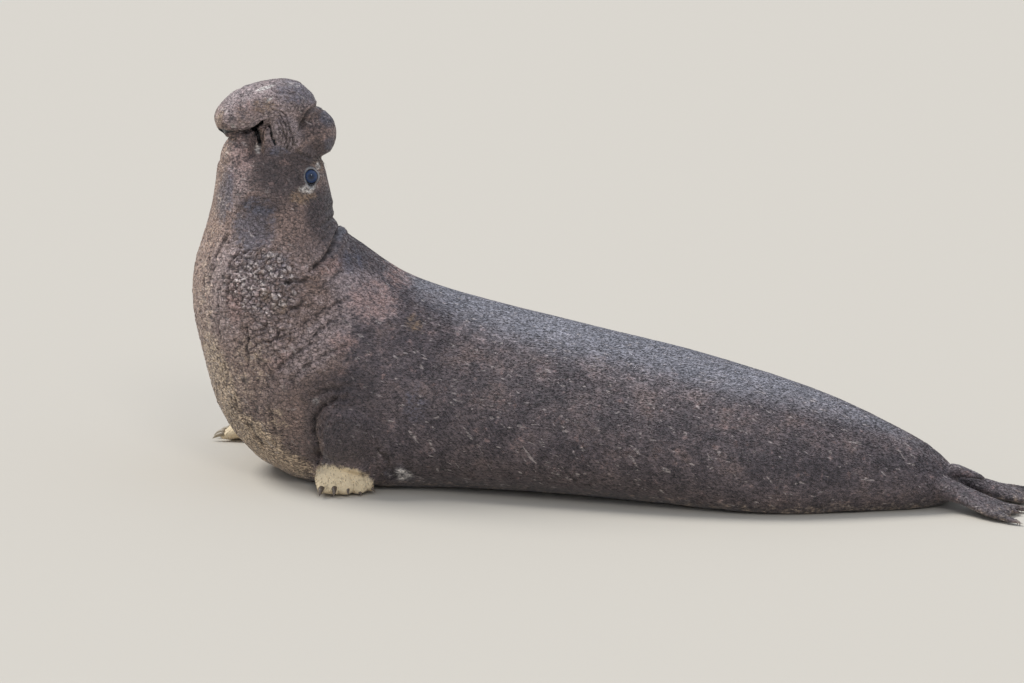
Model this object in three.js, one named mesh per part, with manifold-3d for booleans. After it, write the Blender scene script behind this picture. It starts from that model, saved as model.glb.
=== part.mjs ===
// A life-size bull elephant seal, reared up and calling with its trunk hanging over its mouth.
//
// Millimetres, +Z up. The seal faces -X with its left side towards -Y, and lies on the floor at z = 0.
// Every form is first made with its spine straight in the plane y = 0. Then the front of the body is
// bent to the seal's left, and whatever would sink below the floor is flattened onto it.

import * as THREE from "three";
import { mergeVertices } from "three/addons/utils/BufferGeometryUtils.js";
import Module from "manifold-3d";

const wasm = await Module();
wasm.setup();

// The gap that is kept between two pieces that touch.
const gap = 0.3;

// How far a form is grown before it is taken out of its neighbour. Facets of the grown form lie a
// little closer than its curve does, so this is more than the gap.
const roomGap = 1.2 * gap;

// The bend of the spine: where it starts, how long it is, and how far the head is turned.
const bendStart = -150;
const bendLength = 700;
const bendAngle = THREE.MathUtils.degToRad(26);

// The body from the tail to the end of the muzzle. Each station has the point on the back and the
// point on the belly or throat, as [x, z], half the width there, how far the widest place sags below
// the middle, and how square the section is (1 is round, less is squarer).
const stations = [
  { name: "tail root", back: [2180, 120], belly: [2180, 30], half: 50, sag: 0, square: 1 },
  { name: "rump", back: [2010, 262], belly: [2015, -25], half: 205, sag: 0.1, square: 1 },
  { name: "pelvis", back: [1800, 362], belly: [1810, -70], half: 300, sag: 0.15, square: 1 },
  { name: "hips", back: [1400, 494], belly: [1400, -100], half: 480, sag: 0.2, square: 0.95 },
  { name: "loin", back: [900, 612], belly: [900, -50], half: 555, sag: 0.2, square: 0.95 },
  { name: "waist", back: [350, 714], belly: [350, -35], half: 570, sag: 0.2, square: 0.95 },
  { name: "ribs", back: [-150, 812], belly: [-150, -50], half: 572, sag: 0.2, square: 0.95 },
  { name: "withers", back: [-450, 918], belly: [-560, -90], half: 555, sag: 0.2, square: 0.95 },
  { name: "shoulder", back: [-625, 1045], belly: [-900, -80], half: 500, sag: 0.15, square: 0.95 },
  { name: "nape", back: [-728, 1122], belly: [-1240, 185], half: 455, sag: 0.08, square: 0.95 },
  { name: "breast", back: [-768, 1150], belly: [-1385, 580], half: 405, sag: 0, square: 0.95 },
  { name: "shield", back: [-778, 1195], belly: [-1428, 915], half: 345, sag: 0, square: 0.95 },
  { name: "neck", back: [-775, 1250], belly: [-1362, 1145], half: 282, sag: 0, square: 0.95 },
  { name: "throat", back: [-790, 1325], belly: [-1312, 1345], half: 232, sag: 0, square: 0.9 },
  { name: "cheeks", back: [-815, 1425], belly: [-1278, 1455], half: 186, sag: 0, square: 0.82 },
  { name: "gape", back: [-850, 1515], belly: [-1140, 1525], half: 172, sag: 0, square: 0.8 },
  { name: "palate", back: [-900, 1610], belly: [-1082, 1605], half: 150, sag: 0, square: 0.8 },
  { name: "muzzle", back: [-950, 1690], belly: [-1075, 1675], half: 112, sag: 0, square: 0.9 },
  { name: "nose bone", back: [-1000, 1735], belly: [-1010, 1735], half: 5, sag: 0, square: 1 },
];
const bodyAround = 36;
const bodyRings = 48;

// The cuts across the body, each a point [x, z] and the direction of its normal in the plane y = 0.
const hipsCut = { at: [1250, 0], normal: [-1, 0] };
const chestCut = { at: [-100, 0], normal: [-1, 0] };
const neckCut = { at: [-785, 1135], normal: [-0.68, 0.733] };
const headCut = { at: [-845, 1300], normal: [0.04, 1] };

// The head's parts. What comes in pairs is given for the right side. Each has its middle and its half
// sizes along x, y and z.
const whiskerPad = { at: [-1012, 92, 1600], radii: [64, 66, 96] };
const orbit = { at: [-900, 126, 1411], radii: [70, 48, 74] };
const mouthHollow = { at: [-1112, 0, 1596], radii: [34, 78, 112] };
const rearLobe = { at: [-871, 0, 1578], radii: [114, 132, 120], around: 18, rings: 11 };
const nostril = { at: [-1290, 30, 1592], radii: [32, 13, 34], around: 8, rings: 6 };

// The eye, and the ring of lid that lies on it: the way that the eye looks, the ring's radius and
// thickness, how far it is out from the eye's centre, and how much it is stretched across and up.
const eyeCentre = [-900, 153, 1410];
const eyeRadius = 36;
const eyeAxis = [-0.1, 0.97, 0.2];
const lidRing = 30;
const lidThickness = 8;
const lidOutward = 15;
const lidStretch = [0.92, 1.2, 1];

// The fold of skin at the corner of the mouth, the lower jaw and the trunk's tube, as paths.
const mouthFold = [
  { at: [-1110, 98, 1468], wide: 20, thick: 18 },
  { at: [-1098, 98, 1550], wide: 18, thick: 16 },
  { at: [-1085, 88, 1640], wide: 18, thick: 16 },
];
const jaw = [
  { at: [-1212, 0, 1395], wide: 135, thick: 62 },
  { at: [-1206, 0, 1485], wide: 126, thick: 64 },
  { at: [-1182, 0, 1570], wide: 102, thick: 52 },
  { at: [-1166, 0, 1628], wide: 70, thick: 34 },
];
const trunkTube = [
  { at: [-925, 0, 1600], wide: 118, thick: 95 },
  { at: [-966, 0, 1722], wide: 134, thick: 108 },
  { at: [-1065, 0, 1732], wide: 132, thick: 102 },
  { at: [-1160, 0, 1708], wide: 122, thick: 100 },
  { at: [-1238, 0, 1662], wide: 108, thick: 84 },
  { at: [-1304, 0, 1606], wide: 86, thick: 58 },
];

const hide = (colour) => new THREE.MeshStandardMaterial({ color: colour, roughness: 0.8 });
const hideMaterial = hide(0x5b5049);
const chestMaterial = hide(0x7a6557);
const sandyMaterial = hide(0xa8926c);
const clawMaterial = new THREE.MeshStandardMaterial({ color: 0x2c2622, roughness: 0.45 });
const eyeMaterial = new THREE.MeshStandardMaterial({ color: 0x101319, roughness: 0.08 });

// A closed three.js geometry as a solid that can be joined and cut.
function solidOf(geometry) {
  const bare = geometry.index ? geometry.toNonIndexed() : geometry.clone();
  bare.deleteAttribute("normal");
  bare.deleteAttribute("uv");
  const merged = mergeVertices(bare, 1e-3);
  return new wasm.Manifold(
    new wasm.Mesh({
      numProp: 3,
      vertProperties: merged.attributes.position.array,
      triVerts: new Uint32Array(merged.index.array),
    }),
  );
}

// The largest closed surface of a solid, so that no scrap of a cut stays.
function largest(solid) {
  return solid.decompose().sort((a, b) => b.volume() - a.volume())[0];
}

function meshOf(name, solid, material) {
  const made = largest(solid).getMesh();
  const geometry = new THREE.BufferGeometry();
  geometry.setAttribute("position", new THREE.BufferAttribute(made.vertProperties, 3));
  geometry.setIndex(new THREE.BufferAttribute(made.triVerts, 1));
  geometry.computeVertexNormals();
  const mesh = new THREE.Mesh(geometry, material);
  mesh.name = name;
  return mesh;
}

// Bends the front of the straight body to the seal's left, along an arc.
function bend(point) {
  const ahead = bendStart - point.x;
  if (ahead <= 0) return point;
  const bent = Math.min(ahead, bendLength);
  const past = ahead - bent;
  const angle = (bendAngle * bent) / bendLength;
  const radius = bendLength / bendAngle;
  const x = bendStart - radius * Math.sin(angle) - past * Math.cos(angle) - point.y * Math.sin(angle);
  const y = -radius * (1 - Math.cos(angle)) - past * Math.sin(angle) + point.y * Math.cos(angle);
  return point.set(x, y, point.z);
}

// A form made from a sphere whose every vertex is put in place by its share of the length, from 0 to
// 1, and its angle around. The place has to be one point at both ends.
function form(around, rings, place, shape = bend) {
  const geometry = new THREE.SphereGeometry(1, around, rings);
  const position = geometry.attributes.position;
  const uv = geometry.attributes.uv;
  for (let i = 0; i < position.count; i++) {
    const end = uv.getY(i) < 1e-6 || uv.getY(i) > 1 - 1e-6;
    const turn = end ? 0 : uv.getX(i) * 2 * Math.PI;
    const point = shape(place(1 - uv.getY(i), turn, end));
    position.setXYZ(i, point.x, point.y, Math.max(0, point.z));
  }
  const made = solidOf(geometry);
  if (made.volume() > 0) return made;
  // The vertices ran round the other way, so each face is turned.
  const index = geometry.index.array;
  for (let i = 0; i < index.length; i += 3) [index[i], index[i + 1]] = [index[i + 1], index[i]];
  return solidOf(geometry);
}

const power = (value, exponent) => Math.sign(value) * Math.abs(value) ** exponent;

// The body's curves hold the back and the belly, with the half width and the sag in their y.
const curveOf = (key, extra) =>
  new THREE.CatmullRomCurve3(stations.map((s) => new THREE.Vector3(s[key][0], s[extra], s[key][1])));
const backCurve = curveOf("back", "half");
const bellyCurve = curveOf("belly", "sag");
const squareCurve = new THREE.CatmullRomCurve3(stations.map((s) => new THREE.Vector3(s.square, 0, 0)));

function body(grow) {
  return form(bodyAround, bodyRings, (share, turn, end) => {
    const back = backCurve.getPoint(share);
    const belly = bellyCurve.getPoint(share);
    const square = squareCurve.getPoint(share).x;
    const middle = back.clone().add(belly).multiplyScalar(0.5);
    const half = back.clone().sub(belly).multiplyScalar(0.5);
    const tall = Math.hypot(half.x, half.z);
    const size = end ? 0 : 1;
    const lift = power(Math.cos(turn), square) - belly.y * Math.sin(turn) ** 2;
    const rise = size * lift * (1 + grow / tall);
    const side = size * power(Math.sin(turn), square) * (back.y + grow);
    return new THREE.Vector3(middle.x + half.x * rise, side, middle.z + half.z * rise);
  });
}

// A limb or a soft tube along a path. Each knot has its centre, half its breadth and half its
// thickness, and may have its own upward direction. The ends are rounded over the share "round" of
// the length.
function sweep({ knots, up, around, rings, round = 0.18, grow = 0, shape = bend }) {
  const path = new THREE.CatmullRomCurve3(knots.map((k) => new THREE.Vector3(...k.at)));
  const sizes = new THREE.CatmullRomCurve3(knots.map((k) => new THREE.Vector3(k.wide, k.thick, 0)));
  const ups = new THREE.CatmullRomCurve3(knots.map((k) => new THREE.Vector3(...(k.up ?? up))));
  const place = (share, turn, end) => {
    const along = path.getTangent(share);
    const across = new THREE.Vector3().crossVectors(along, ups.getPoint(share)).normalize();
    const over = new THREE.Vector3().crossVectors(across, along);
    const size = sizes.getPoint(share);
    const near = Math.min(share, 1 - share);
    const dome = near < round ? Math.sqrt(1 - (1 - near / round) ** 2) : 1;
    const wide = end ? 0 : size.x * dome + grow;
    const thick = end ? 0 : size.y * dome + grow;
    return path
      .getPoint(share)
      .addScaledVector(along, end ? grow * (share > 0.5 ? 1 : -1) : 0)
      .addScaledVector(across, wide * Math.sin(turn))
      .addScaledVector(over, thick * Math.cos(turn));
  };
  return form(around, rings, place, shape);
}

// An egg shape at a centre, with its half sizes along x, y and z.
function egg({ at, radii, around = 14, rings = 9, grow = 0 }) {
  return form(around, rings, (share, turn) => {
    const polar = Math.PI * share;
    return new THREE.Vector3(
      at[0] + (radii[0] + grow) * Math.sin(polar) * Math.cos(turn),
      at[1] + (radii[1] + grow) * Math.sin(polar) * Math.sin(turn),
      at[2] + (radii[2] + grow) * Math.cos(polar),
    );
  });
}

const join = (solids) => solids.reduce((sum, one) => sum.add(one));
const sides = [
  { name: "left", sign: -1 },
  { name: "right", sign: 1 },
];
const mirrored = ([x, y, z], sign) => [x, y * sign, z];

// The head's soft parts, one on each side: the whisker pad on the upper lip, the fold of skin at the
// corner of the mouth, and the socket's rim.
function headSofts(grow) {
  return sides.flatMap(({ sign }) => [
    egg({ ...whiskerPad, at: mirrored(whiskerPad.at, sign), grow }),
    egg({ ...orbit, at: mirrored(orbit.at, sign), grow }),
    sweep({
      knots: mouthFold.map((knot) => ({ ...knot, at: mirrored(knot.at, sign) })),
      up: [0, 1, 0],
      around: 8,
      rings: 7,
      grow,
    }),
  ]);
}

// A ring of lid round the eye, lying on the eyeball.
function lid(sign) {
  const ring = new THREE.TorusGeometry(lidRing, lidThickness, 6, 14);
  const axis = new THREE.Vector3(...mirrored(eyeAxis, sign)).normalize();
  ring.scale(...lidStretch);
  ring.applyQuaternion(new THREE.Quaternion().setFromUnitVectors(new THREE.Vector3(0, 0, 1), axis));
  const centre = new THREE.Vector3(...mirrored(eyeCentre, sign)).addScaledVector(axis, lidOutward);
  ring.translate(centre.x, centre.y, centre.z);
  const position = ring.attributes.position;
  for (let i = 0; i < position.count; i++) {
    const point = bend(new THREE.Vector3().fromBufferAttribute(position, i));
    position.setXYZ(i, point.x, point.y, point.z);
  }
  return solidOf(ring);
}

const eyeRadii = [eyeRadius, eyeRadius, eyeRadius];
const eyeBall = (sign, grow) => egg({ at: mirrored(eyeCentre, sign), radii: eyeRadii, around: 12, rings: 8, grow });

// The trunk: a rear lobe over the brow, and the tube that bends over the mouth and hangs down.
function trunkForm(grow) {
  const tube = sweep({ knots: trunkTube, up: [0, 0.01, 1], around: 18, rings: 18, round: 0.14, grow });
  return egg({ ...rearLobe, grow }).add(tube);
}

// The two nostrils, pits in the underside of the trunk's tip.
const nostrils = () => join(sides.map(({ sign }) => egg({ ...nostril, at: mirrored(nostril.at, sign) })));

const jawForm = (grow) => sweep({ knots: jaw, up: [1, 0, 0], around: 18, rings: 14, round: 0.2, grow });

// The fore flippers, in their places on the bent seal: the shoulder, the elbow and the wrist, the
// middle of the digits' ends, and the direction out of the body's side.
const foreFlippers = {
  left: {
    arm: [
      [-520, -535, 400],
      [-550, -545, 255],
      [-586, -532, 92],
    ],
    tip: [-537, -638, 14],
    out: [0.38, -0.92, 0.2],
  },
  right: {
    arm: [
      [-1000, 290, 360],
      [-1085, 350, 225],
      [-1190, 372, 90],
    ],
    tip: [-1464, 352, 14],
    out: [-0.44, 0.9, 0.2],
  },
};
const armWide = [135, 138, 128];
const armThick = [105, 94, 58];
const asPlaced = (point) => point;
const flatUp = [0, 0, 1];

// The hand: its breadth, and from the wrist to the tips its palm and its end. Each digit has a root, a
// middle and a tip, and its tip stops short of the line of the tips.
const foreBreadth = 260;
const palm = { share: 0.5, z: 48, wide: 0.5 * foreBreadth, thick: 36 };
const palmEnd = { share: 0.9, z: 20, wide: 0.46 * foreBreadth, thick: 17 };
const digitRoot = { z: 62, wide: 24, thick: 24, spread: 0.3 * foreBreadth };
const digitMiddle = { z: 44, wide: 23, thick: 24, share: 0.55 };
const digitTip = { wide: 17, thick: 16, spread: 0.47 * foreBreadth };
const foreShorter = [8, 0, 8, 26, 48];

// A claw starts inside the tip of its digit and curves down to the floor.
const clawLength = 38;
const clawRadius = 9;
const clawKnots = [
  { ahead: -14, z: 24, wide: clawRadius, thick: clawRadius },
  { ahead: 0.45 * clawLength, z: 21, wide: 0.8 * clawRadius, thick: 0.9 * clawRadius },
  { ahead: clawLength, z: 4, wide: 0.25 * clawRadius, thick: 0.25 * clawRadius },
];

// The line of a digit, from the leading one, which is number 0, to the trailing one.
function digitLine(side, number) {
  const { arm, tip } = foreFlippers[side];
  const wrist = new THREE.Vector3(...arm[2]);
  const end = new THREE.Vector3(...tip);
  const along = end.clone().sub(wrist).setZ(0).normalize();
  const leading = side === "left" ? 1 : -1;
  const across = new THREE.Vector3(-along.y, along.x, 0).multiplyScalar(leading);
  const place = (2 * number) / (foreShorter.length - 1) - 1;
  const root = wrist.clone().addScaledVector(across, digitRoot.spread * place).setZ(digitRoot.z);
  const last = end.clone().addScaledVector(across, digitTip.spread * place);
  last.addScaledVector(along, -foreShorter[number]);
  const middle = root.clone().lerp(last, digitMiddle.share).setZ(digitMiddle.z);
  return { root, middle, last, along: last.clone().sub(root).setZ(0).normalize() };
}

function foreFlipper(side, grow) {
  const { arm, tip, out } = foreFlippers[side];
  const wrist = new THREE.Vector3(...arm[2]);
  const handKnot = ({ share, z, wide, thick }) => {
    const at = wrist.clone().lerp(new THREE.Vector3(...tip), share).setZ(z).toArray();
    return { at, wide, thick, up: flatUp };
  };
  const armKnots = arm.map((at, i) => ({ at, wide: armWide[i], thick: armThick[i], up: i < 2 ? out : flatUp }));
  const knots = [...armKnots, handKnot(palm), handKnot(palmEnd)];
  const limb = sweep({ knots, around: 16, rings: 14, round: 0.12, grow, shape: asPlaced });
  const digits = foreShorter.map((_, number) => {
    const { root, middle, last } = digitLine(side, number);
    const digitKnots = [
      { ...digitRoot, at: root.toArray() },
      { ...digitMiddle, at: middle.toArray() },
      { ...digitTip, at: last.toArray() },
    ];
    return sweep({ knots: digitKnots, up: flatUp, around: 6, rings: 6, grow, shape: asPlaced });
  });
  return join([limb, ...digits]);
}

function claw(side, number) {
  const { last, along } = digitLine(side, number);
  const knots = clawKnots.map(({ ahead, z, wide, thick }) => {
    return { at: last.clone().addScaledVector(along, ahead).setZ(z).toArray(), wide, thick };
  });
  return sweep({ knots, up: flatUp, around: 6, rings: 6, shape: asPlaced });
}

// A hind flipper: a flat foot whose outer digits are the longest, so that its end is forked. Each
// digit starts in the foot, and fans out by its spread at the root, the middle and the tip.
const hindFoot = [
  { at: [2020, 70, 118], wide: 62, thick: 62 },
  { at: [2180, 104, 80], wide: 66, thick: 46 },
  { at: [2320, 146, 46], wide: 96, thick: 27 },
  { at: [2440, 186, 22], wide: 116, thick: 13 },
];
const hindDigit = [
  { at: [2200, 110, 66], wide: 20, thick: 26, spread: 40 },
  { at: [2350, 155, 34], wide: 24, thick: 21, spread: 82 },
  { at: [2440, 192, 12], wide: 16, thick: 10, spread: 128 },
];
const hindLonger = [120, 55, 15, 40, 105];

function hindFlipper(sign, grow) {
  const placed = (knot) => ({ ...knot, at: mirrored(knot.at, sign) });
  const foot = sweep({ knots: hindFoot.map(placed), up: flatUp, around: 14, rings: 14, round: 0.1, grow });
  const digits = hindLonger.map((longer, number) => {
    const place = (2 * number) / (hindLonger.length - 1) - 1;
    const knots = hindDigit.map(({ at, wide, thick, spread }, i) => ({
      at: mirrored([at[0] + (i === 2 ? longer : 0), at[1] + spread * place, at[2]], sign),
      wide,
      thick,
    }));
    return sweep({ knots, up: flatUp, around: 6, rings: 6, grow });
  });
  return join([foot, ...digits]);
}

const tailKnots = [
  { at: [2100, 0, 165], wide: 44, thick: 40 },
  { at: [2200, 0, 150], wide: 36, thick: 22 },
  { at: [2290, 0, 128], wide: 18, thick: 8 },
];
const tailForm = sweep({ knots: tailKnots, up: flatUp, around: 10, rings: 8 });

// The part of a solid ahead of a cut, or behind it, with half the gap taken off.
function trim(solid, cut, ahead) {
  const at = bend(new THREE.Vector3(cut.at[0], 0, cut.at[1]));
  const turn = cut.at[0] < bendStart ? bendAngle : 0;
  const normal = new THREE.Vector3(cut.normal[0], 0, cut.normal[1]).normalize();
  normal.applyAxisAngle(new THREE.Vector3(0, 0, 1), turn);
  const offset = normal.dot(at);
  return ahead
    ? solid.trimByPlane(normal.toArray(), offset + gap / 2)
    : solid.trimByPlane(normal.negate().toArray(), -offset + gap / 2);
}

function between(solid, behind, ahead) {
  const front = behind ? trim(solid, behind, true) : solid;
  return ahead ? trim(front, ahead, false) : front;
}

const seal = new THREE.Group();
const put = (name, solid, material) => seal.add(meshOf(name, solid, material));

const flesh = body(0);
const grownFlesh = body(roomGap);

put("hips", between(flesh, null, hipsCut), hideMaterial);
put("torso", between(flesh, hipsCut, chestCut), hideMaterial);
put("chest", between(flesh, chestCut, neckCut), chestMaterial);
put("neck", between(flesh, neckCut, headCut), chestMaterial);

const softs = join(headSofts(0));
const lids = join(sides.map(({ sign }) => lid(sign)));
const sockets = join(sides.map(({ sign }) => eyeBall(sign, gap)));
const bareHead = join([between(flesh, headCut, null), trim(softs, headCut, true), lids]);
const head = bareHead.subtract(egg(mouthHollow)).subtract(sockets);
put("head", head, hideMaterial);
for (const { name, sign } of sides) put("eye_" + name, eyeBall(sign, 0), eyeMaterial);

const grownHead = join([grownFlesh, ...headSofts(roomGap), lids]);
const trunk = trunkForm(0).subtract(grownHead).subtract(nostrils());
put("trunk", trunk, hideMaterial);
const jawRoom = grownHead.subtract(egg(mouthHollow));
put("lower_jaw", jawForm(0).subtract(jawRoom).subtract(trunkForm(roomGap)), hideMaterial);

for (const { name } of sides) {
  put("fore_flipper_" + name, foreFlipper(name, 0).subtract(grownFlesh), sandyMaterial);
  const grown = foreFlipper(name, roomGap);
  for (let number = 0; number < foreShorter.length; number++)
    put("claw_" + name + "_" + (number + 1), claw(name, number).subtract(grown), clawMaterial);
}

const hindRoom = join([grownFlesh, ...sides.map(({ sign }) => hindFlipper(sign, roomGap))]);
for (const { name, sign } of sides)
  put("hind_flipper_" + name, hindFlipper(sign, 0).subtract(grownFlesh), sandyMaterial);
put("tail", tailForm.subtract(hindRoom), hideMaterial);

export default seal;
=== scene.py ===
# %% [markdown]
# # A bull elephant seal, reared up and calling
# A museum model of this animal has one unbroken hide over its whole body, so the solids for the hips,
# torso, chest, neck, head, trunk, jaw, flippers and tail are only the body under that hide. This
# lesson grows one skin over them, cuts the folds, warts and wrinkles into it, lays short fur over it,
# and adds what is really separate: the eyes, the claws and the whiskers.

# %% The frame
import math

import bmesh
import bpy
import numpy as np
from mathutils import Matrix, Vector
from mathutils.bvhtree import BVHTree
from mathutils.kdtree import KDTree


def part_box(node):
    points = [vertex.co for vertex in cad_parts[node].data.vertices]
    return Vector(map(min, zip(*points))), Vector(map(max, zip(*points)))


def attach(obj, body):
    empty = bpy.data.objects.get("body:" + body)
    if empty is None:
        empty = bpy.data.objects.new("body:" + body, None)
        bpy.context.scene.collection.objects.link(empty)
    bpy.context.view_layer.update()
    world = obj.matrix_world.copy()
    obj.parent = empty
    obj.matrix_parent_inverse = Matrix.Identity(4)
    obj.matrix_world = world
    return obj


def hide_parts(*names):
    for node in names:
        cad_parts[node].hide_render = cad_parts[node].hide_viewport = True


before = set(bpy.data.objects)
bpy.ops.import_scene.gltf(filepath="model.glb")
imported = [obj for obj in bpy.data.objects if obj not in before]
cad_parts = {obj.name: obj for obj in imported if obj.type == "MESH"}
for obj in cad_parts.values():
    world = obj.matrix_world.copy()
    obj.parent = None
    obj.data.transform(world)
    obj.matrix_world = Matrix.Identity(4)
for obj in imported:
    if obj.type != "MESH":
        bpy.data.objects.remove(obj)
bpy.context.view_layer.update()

# %% [markdown]
# ## The camera
# The photo was taken from far away with a long lens, a little behind the seal's shoulder and slightly
# above it. An orthographic camera would come close, but a real one 36 m away keeps the small amount
# of perspective that the photo has. Its lens follows from the size of one pixel at the seal.

# %% The camera
PHOTO_WIDTH, PHOTO_HEIGHT = 1024, 683
PIXEL = 0.0046
DISTANCE = 36.0
AZIMUTH, ELEVATION = math.radians(16), math.radians(13)
ORIGIN_PIXEL = (500, 473)
SENSOR = 36.0

to_right = Vector((math.cos(AZIMUTH), math.sin(AZIMUTH), 0))
level = Vector((-math.sin(AZIMUTH), math.cos(AZIMUTH), 0))
looking = math.cos(ELEVATION) * level - Vector((0, 0, math.sin(ELEVATION)))
upward = to_right.cross(looking)
aim = (PHOTO_WIDTH / 2 - ORIGIN_PIXEL[0]) * PIXEL * to_right
aim += (ORIGIN_PIXEL[1] - PHOTO_HEIGHT / 2) * PIXEL * upward

camera = bpy.data.objects.new("camera", bpy.data.cameras.new("camera"))
bpy.context.scene.collection.objects.link(camera)
bpy.context.scene.camera = camera
camera.location = aim - DISTANCE * looking
camera.rotation_euler = looking.to_track_quat("-Z", "Y").to_euler()
camera.data.sensor_width = SENSOR
camera.data.lens = SENSOR * DISTANCE / (PIXEL * PHOTO_WIDTH)
camera.data.clip_end = 400
print("a lens of", round(camera.data.lens), "mm")

# %% [markdown]
# ## The spine, bent and straight
# The front of the seal is turned to its left, so its two sides aren't mirror images in space. Folds
# and markings are easier to place on a straight seal, where the left side mirrors the right. These
# functions go from the bent seal to the straight one and back, and say where the photo shows a point
# of the left side. A fold that is drawn once on the photo then lies on both sides of the seal.

# %% The spine, bent and straight
BEND_START = -0.150
BEND_LENGTH = 0.700
BEND_ANGLE = math.radians(26)
BEND_RADIUS = BEND_LENGTH / BEND_ANGLE
SIN, COS = math.sin(BEND_ANGLE), math.cos(BEND_ANGLE)
BEND_END = (BEND_START - BEND_RADIUS * SIN, -BEND_RADIUS * (1 - COS))
TRUNK_TIP = (-1.304, 0, 1.606)


def straighten(points):
    """The places that points of the bent seal have on the straight one."""
    x, y = points[:, 0] - BEND_START, points[:, 1] + BEND_RADIUS
    turn = np.where(x < 0, np.arctan2(-x, y), 0)
    arc = np.stack([BEND_START - BEND_RADIUS * turn, np.hypot(x, y) - BEND_RADIUS], 1)
    dx, dy = points[:, 0] - BEND_END[0], points[:, 1] - BEND_END[1]
    beyond = np.stack([BEND_START - BEND_LENGTH + dx * COS + dy * SIN, dy * COS - dx * SIN], 1)
    made = points.copy()
    made[:, :2] = np.where((x < 0)[:, None], arc, points[:, :2])
    made[:, :2] = np.where((turn > BEND_ANGLE)[:, None], beyond, made[:, :2])
    return made


def bend(points):
    """The places that points of the straight seal have on the bent one."""
    ahead = np.maximum(BEND_START - points[:, 0], 0)
    bent = np.minimum(ahead, BEND_LENGTH)
    past = ahead - bent
    sin, cos = np.sin(bent / BEND_RADIUS), np.cos(bent / BEND_RADIUS)
    y = points[:, 1]
    made = points.copy()
    bent_x = BEND_START - BEND_RADIUS * sin - past * cos - y * sin
    made[:, 0] = np.where(ahead > 0, bent_x, points[:, 0])
    made[:, 1] = -BEND_RADIUS * (1 - cos) - past * sin + y * cos
    return made


def in_photo(straight):
    """The pixel that shows a point of the left side, or the mirror image of one of the right side."""
    left = straight.copy()
    left[:, 1] = -np.abs(left[:, 1])
    seen = bend(left) - np.array(camera.location)
    depth = seen @ np.array(looking)
    focal = DISTANCE / PIXEL
    across = PHOTO_WIDTH / 2 + focal * (seen @ np.array(to_right)) / depth
    down = PHOTO_HEIGHT / 2 - focal * (seen @ np.array(upward)) / depth
    return np.stack([across, down], 1)


tip_pixel = in_photo(np.array([TRUNK_TIP]))[0]
print("the trunk's tip is seen at", tip_pixel.round().astype(int).tolist())

# %% [markdown]
# ## One skin over the solids
# The solids meet face to face with a hair's gap. They could be joined by a Boolean, which keeps
# their creases. A voxel remesh melts them into one closed surface of even squares instead, which is
# the right start for sculpting. Each solid is first fattened by more than half the gap, so that no
# seam is left. A ball is set in each eye socket, so that the skin runs on behind the eye, and the
# gullet fills most of the gap between the jaw and the palate, so that no daylight shows through.

# %% One skin over the solids
FLESH = ["hips", "torso", "chest", "neck", "head", "trunk", "lower_jaw", "tail"]
FLESH += [f"{limb}_flipper_{side}" for limb in ("fore", "hind") for side in ("left", "right")]
SEAM = 0.0006
VOXEL = 0.005
EYE_RADIUS = 0.036
SOCKET_RADIUS = 0.0325
BALL_SPLITS = 4
GULLET = {"at": (-1.118, 0, 1.590), "radii": (0.050, 0.072, 0.120)}

eye_centres = {side: sum(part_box("eye_" + side), Vector()) / 2 for side in ("left", "right")}


def new_piece(name, shape):
    """A bmesh as an object at the origin."""
    mesh = bpy.data.meshes.new(name)
    shape.to_mesh(mesh)
    shape.free()
    piece = bpy.data.objects.new(name, mesh)
    bpy.context.scene.collection.objects.link(piece)
    mesh.shade_smooth()
    return piece


def finished(piece):
    """Turns a piece's modifiers into mesh."""
    graph = bpy.context.evaluated_depsgraph_get()
    mesh = bpy.data.meshes.new_from_object(piece.evaluated_get(graph))
    piece.modifiers.clear()
    piece.data = mesh
    return piece


shape = bmesh.new()
for node in FLESH:
    shape.from_mesh(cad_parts[node].data)
bmesh.ops.remove_doubles(shape, verts=shape.verts, dist=1e-5)
shape.normal_update()
for vert in shape.verts:
    vert.co += SEAM * vert.normal
for centre in eye_centres.values():
    place = Matrix.Translation(centre)
    bmesh.ops.create_icosphere(shape, subdivisions=BALL_SPLITS, radius=SOCKET_RADIUS, matrix=place)
gullet_at = Vector(bend(np.array([GULLET["at"]]))[0])
place = Matrix.Translation(gullet_at) @ Matrix.Rotation(BEND_ANGLE, 4, "Z")
place = place @ Matrix.Diagonal((*GULLET["radii"], 1))
bmesh.ops.create_icosphere(shape, subdivisions=BALL_SPLITS, radius=1, matrix=place)
skin = new_piece("skin", shape)
remesh = skin.modifiers.new("one surface", "REMESH")
remesh.mode = "VOXEL"
remesh.voxel_size = VOXEL
finished(skin)
print("one skin of", len(skin.data.polygons), "squares")

# %% [markdown]
# ## Reading a mesh as numbers
# Sculpting by hand isn't repeatable, so the skin is sculpted in code: its vertices are read into an
# array, moved, and written back. The smoothing step moves each vertex towards the middle of its
# neighbours. It takes a strength for each vertex, so that the back can be smoothed and the face kept.

# %% Reading a mesh as numbers


def read(items, field, width):
    """One field of a mesh's items, a row for each item. Fields named vert... hold whole numbers."""
    kind = np.int32 if field.startswith("vert") else np.float32
    flat = np.zeros(len(items) * width, kind)
    items.foreach_get(field, flat)
    return flat.reshape(-1, width)


def places(piece):
    return read(piece.data.vertices, "co", 3).astype(float)


def normals(piece):
    return read(piece.data.vertex_normals, "vector", 3).astype(float)


def put_places(piece, points):
    piece.data.vertices.foreach_set("co", points.astype(np.float32).ravel())
    piece.data.update()


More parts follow.
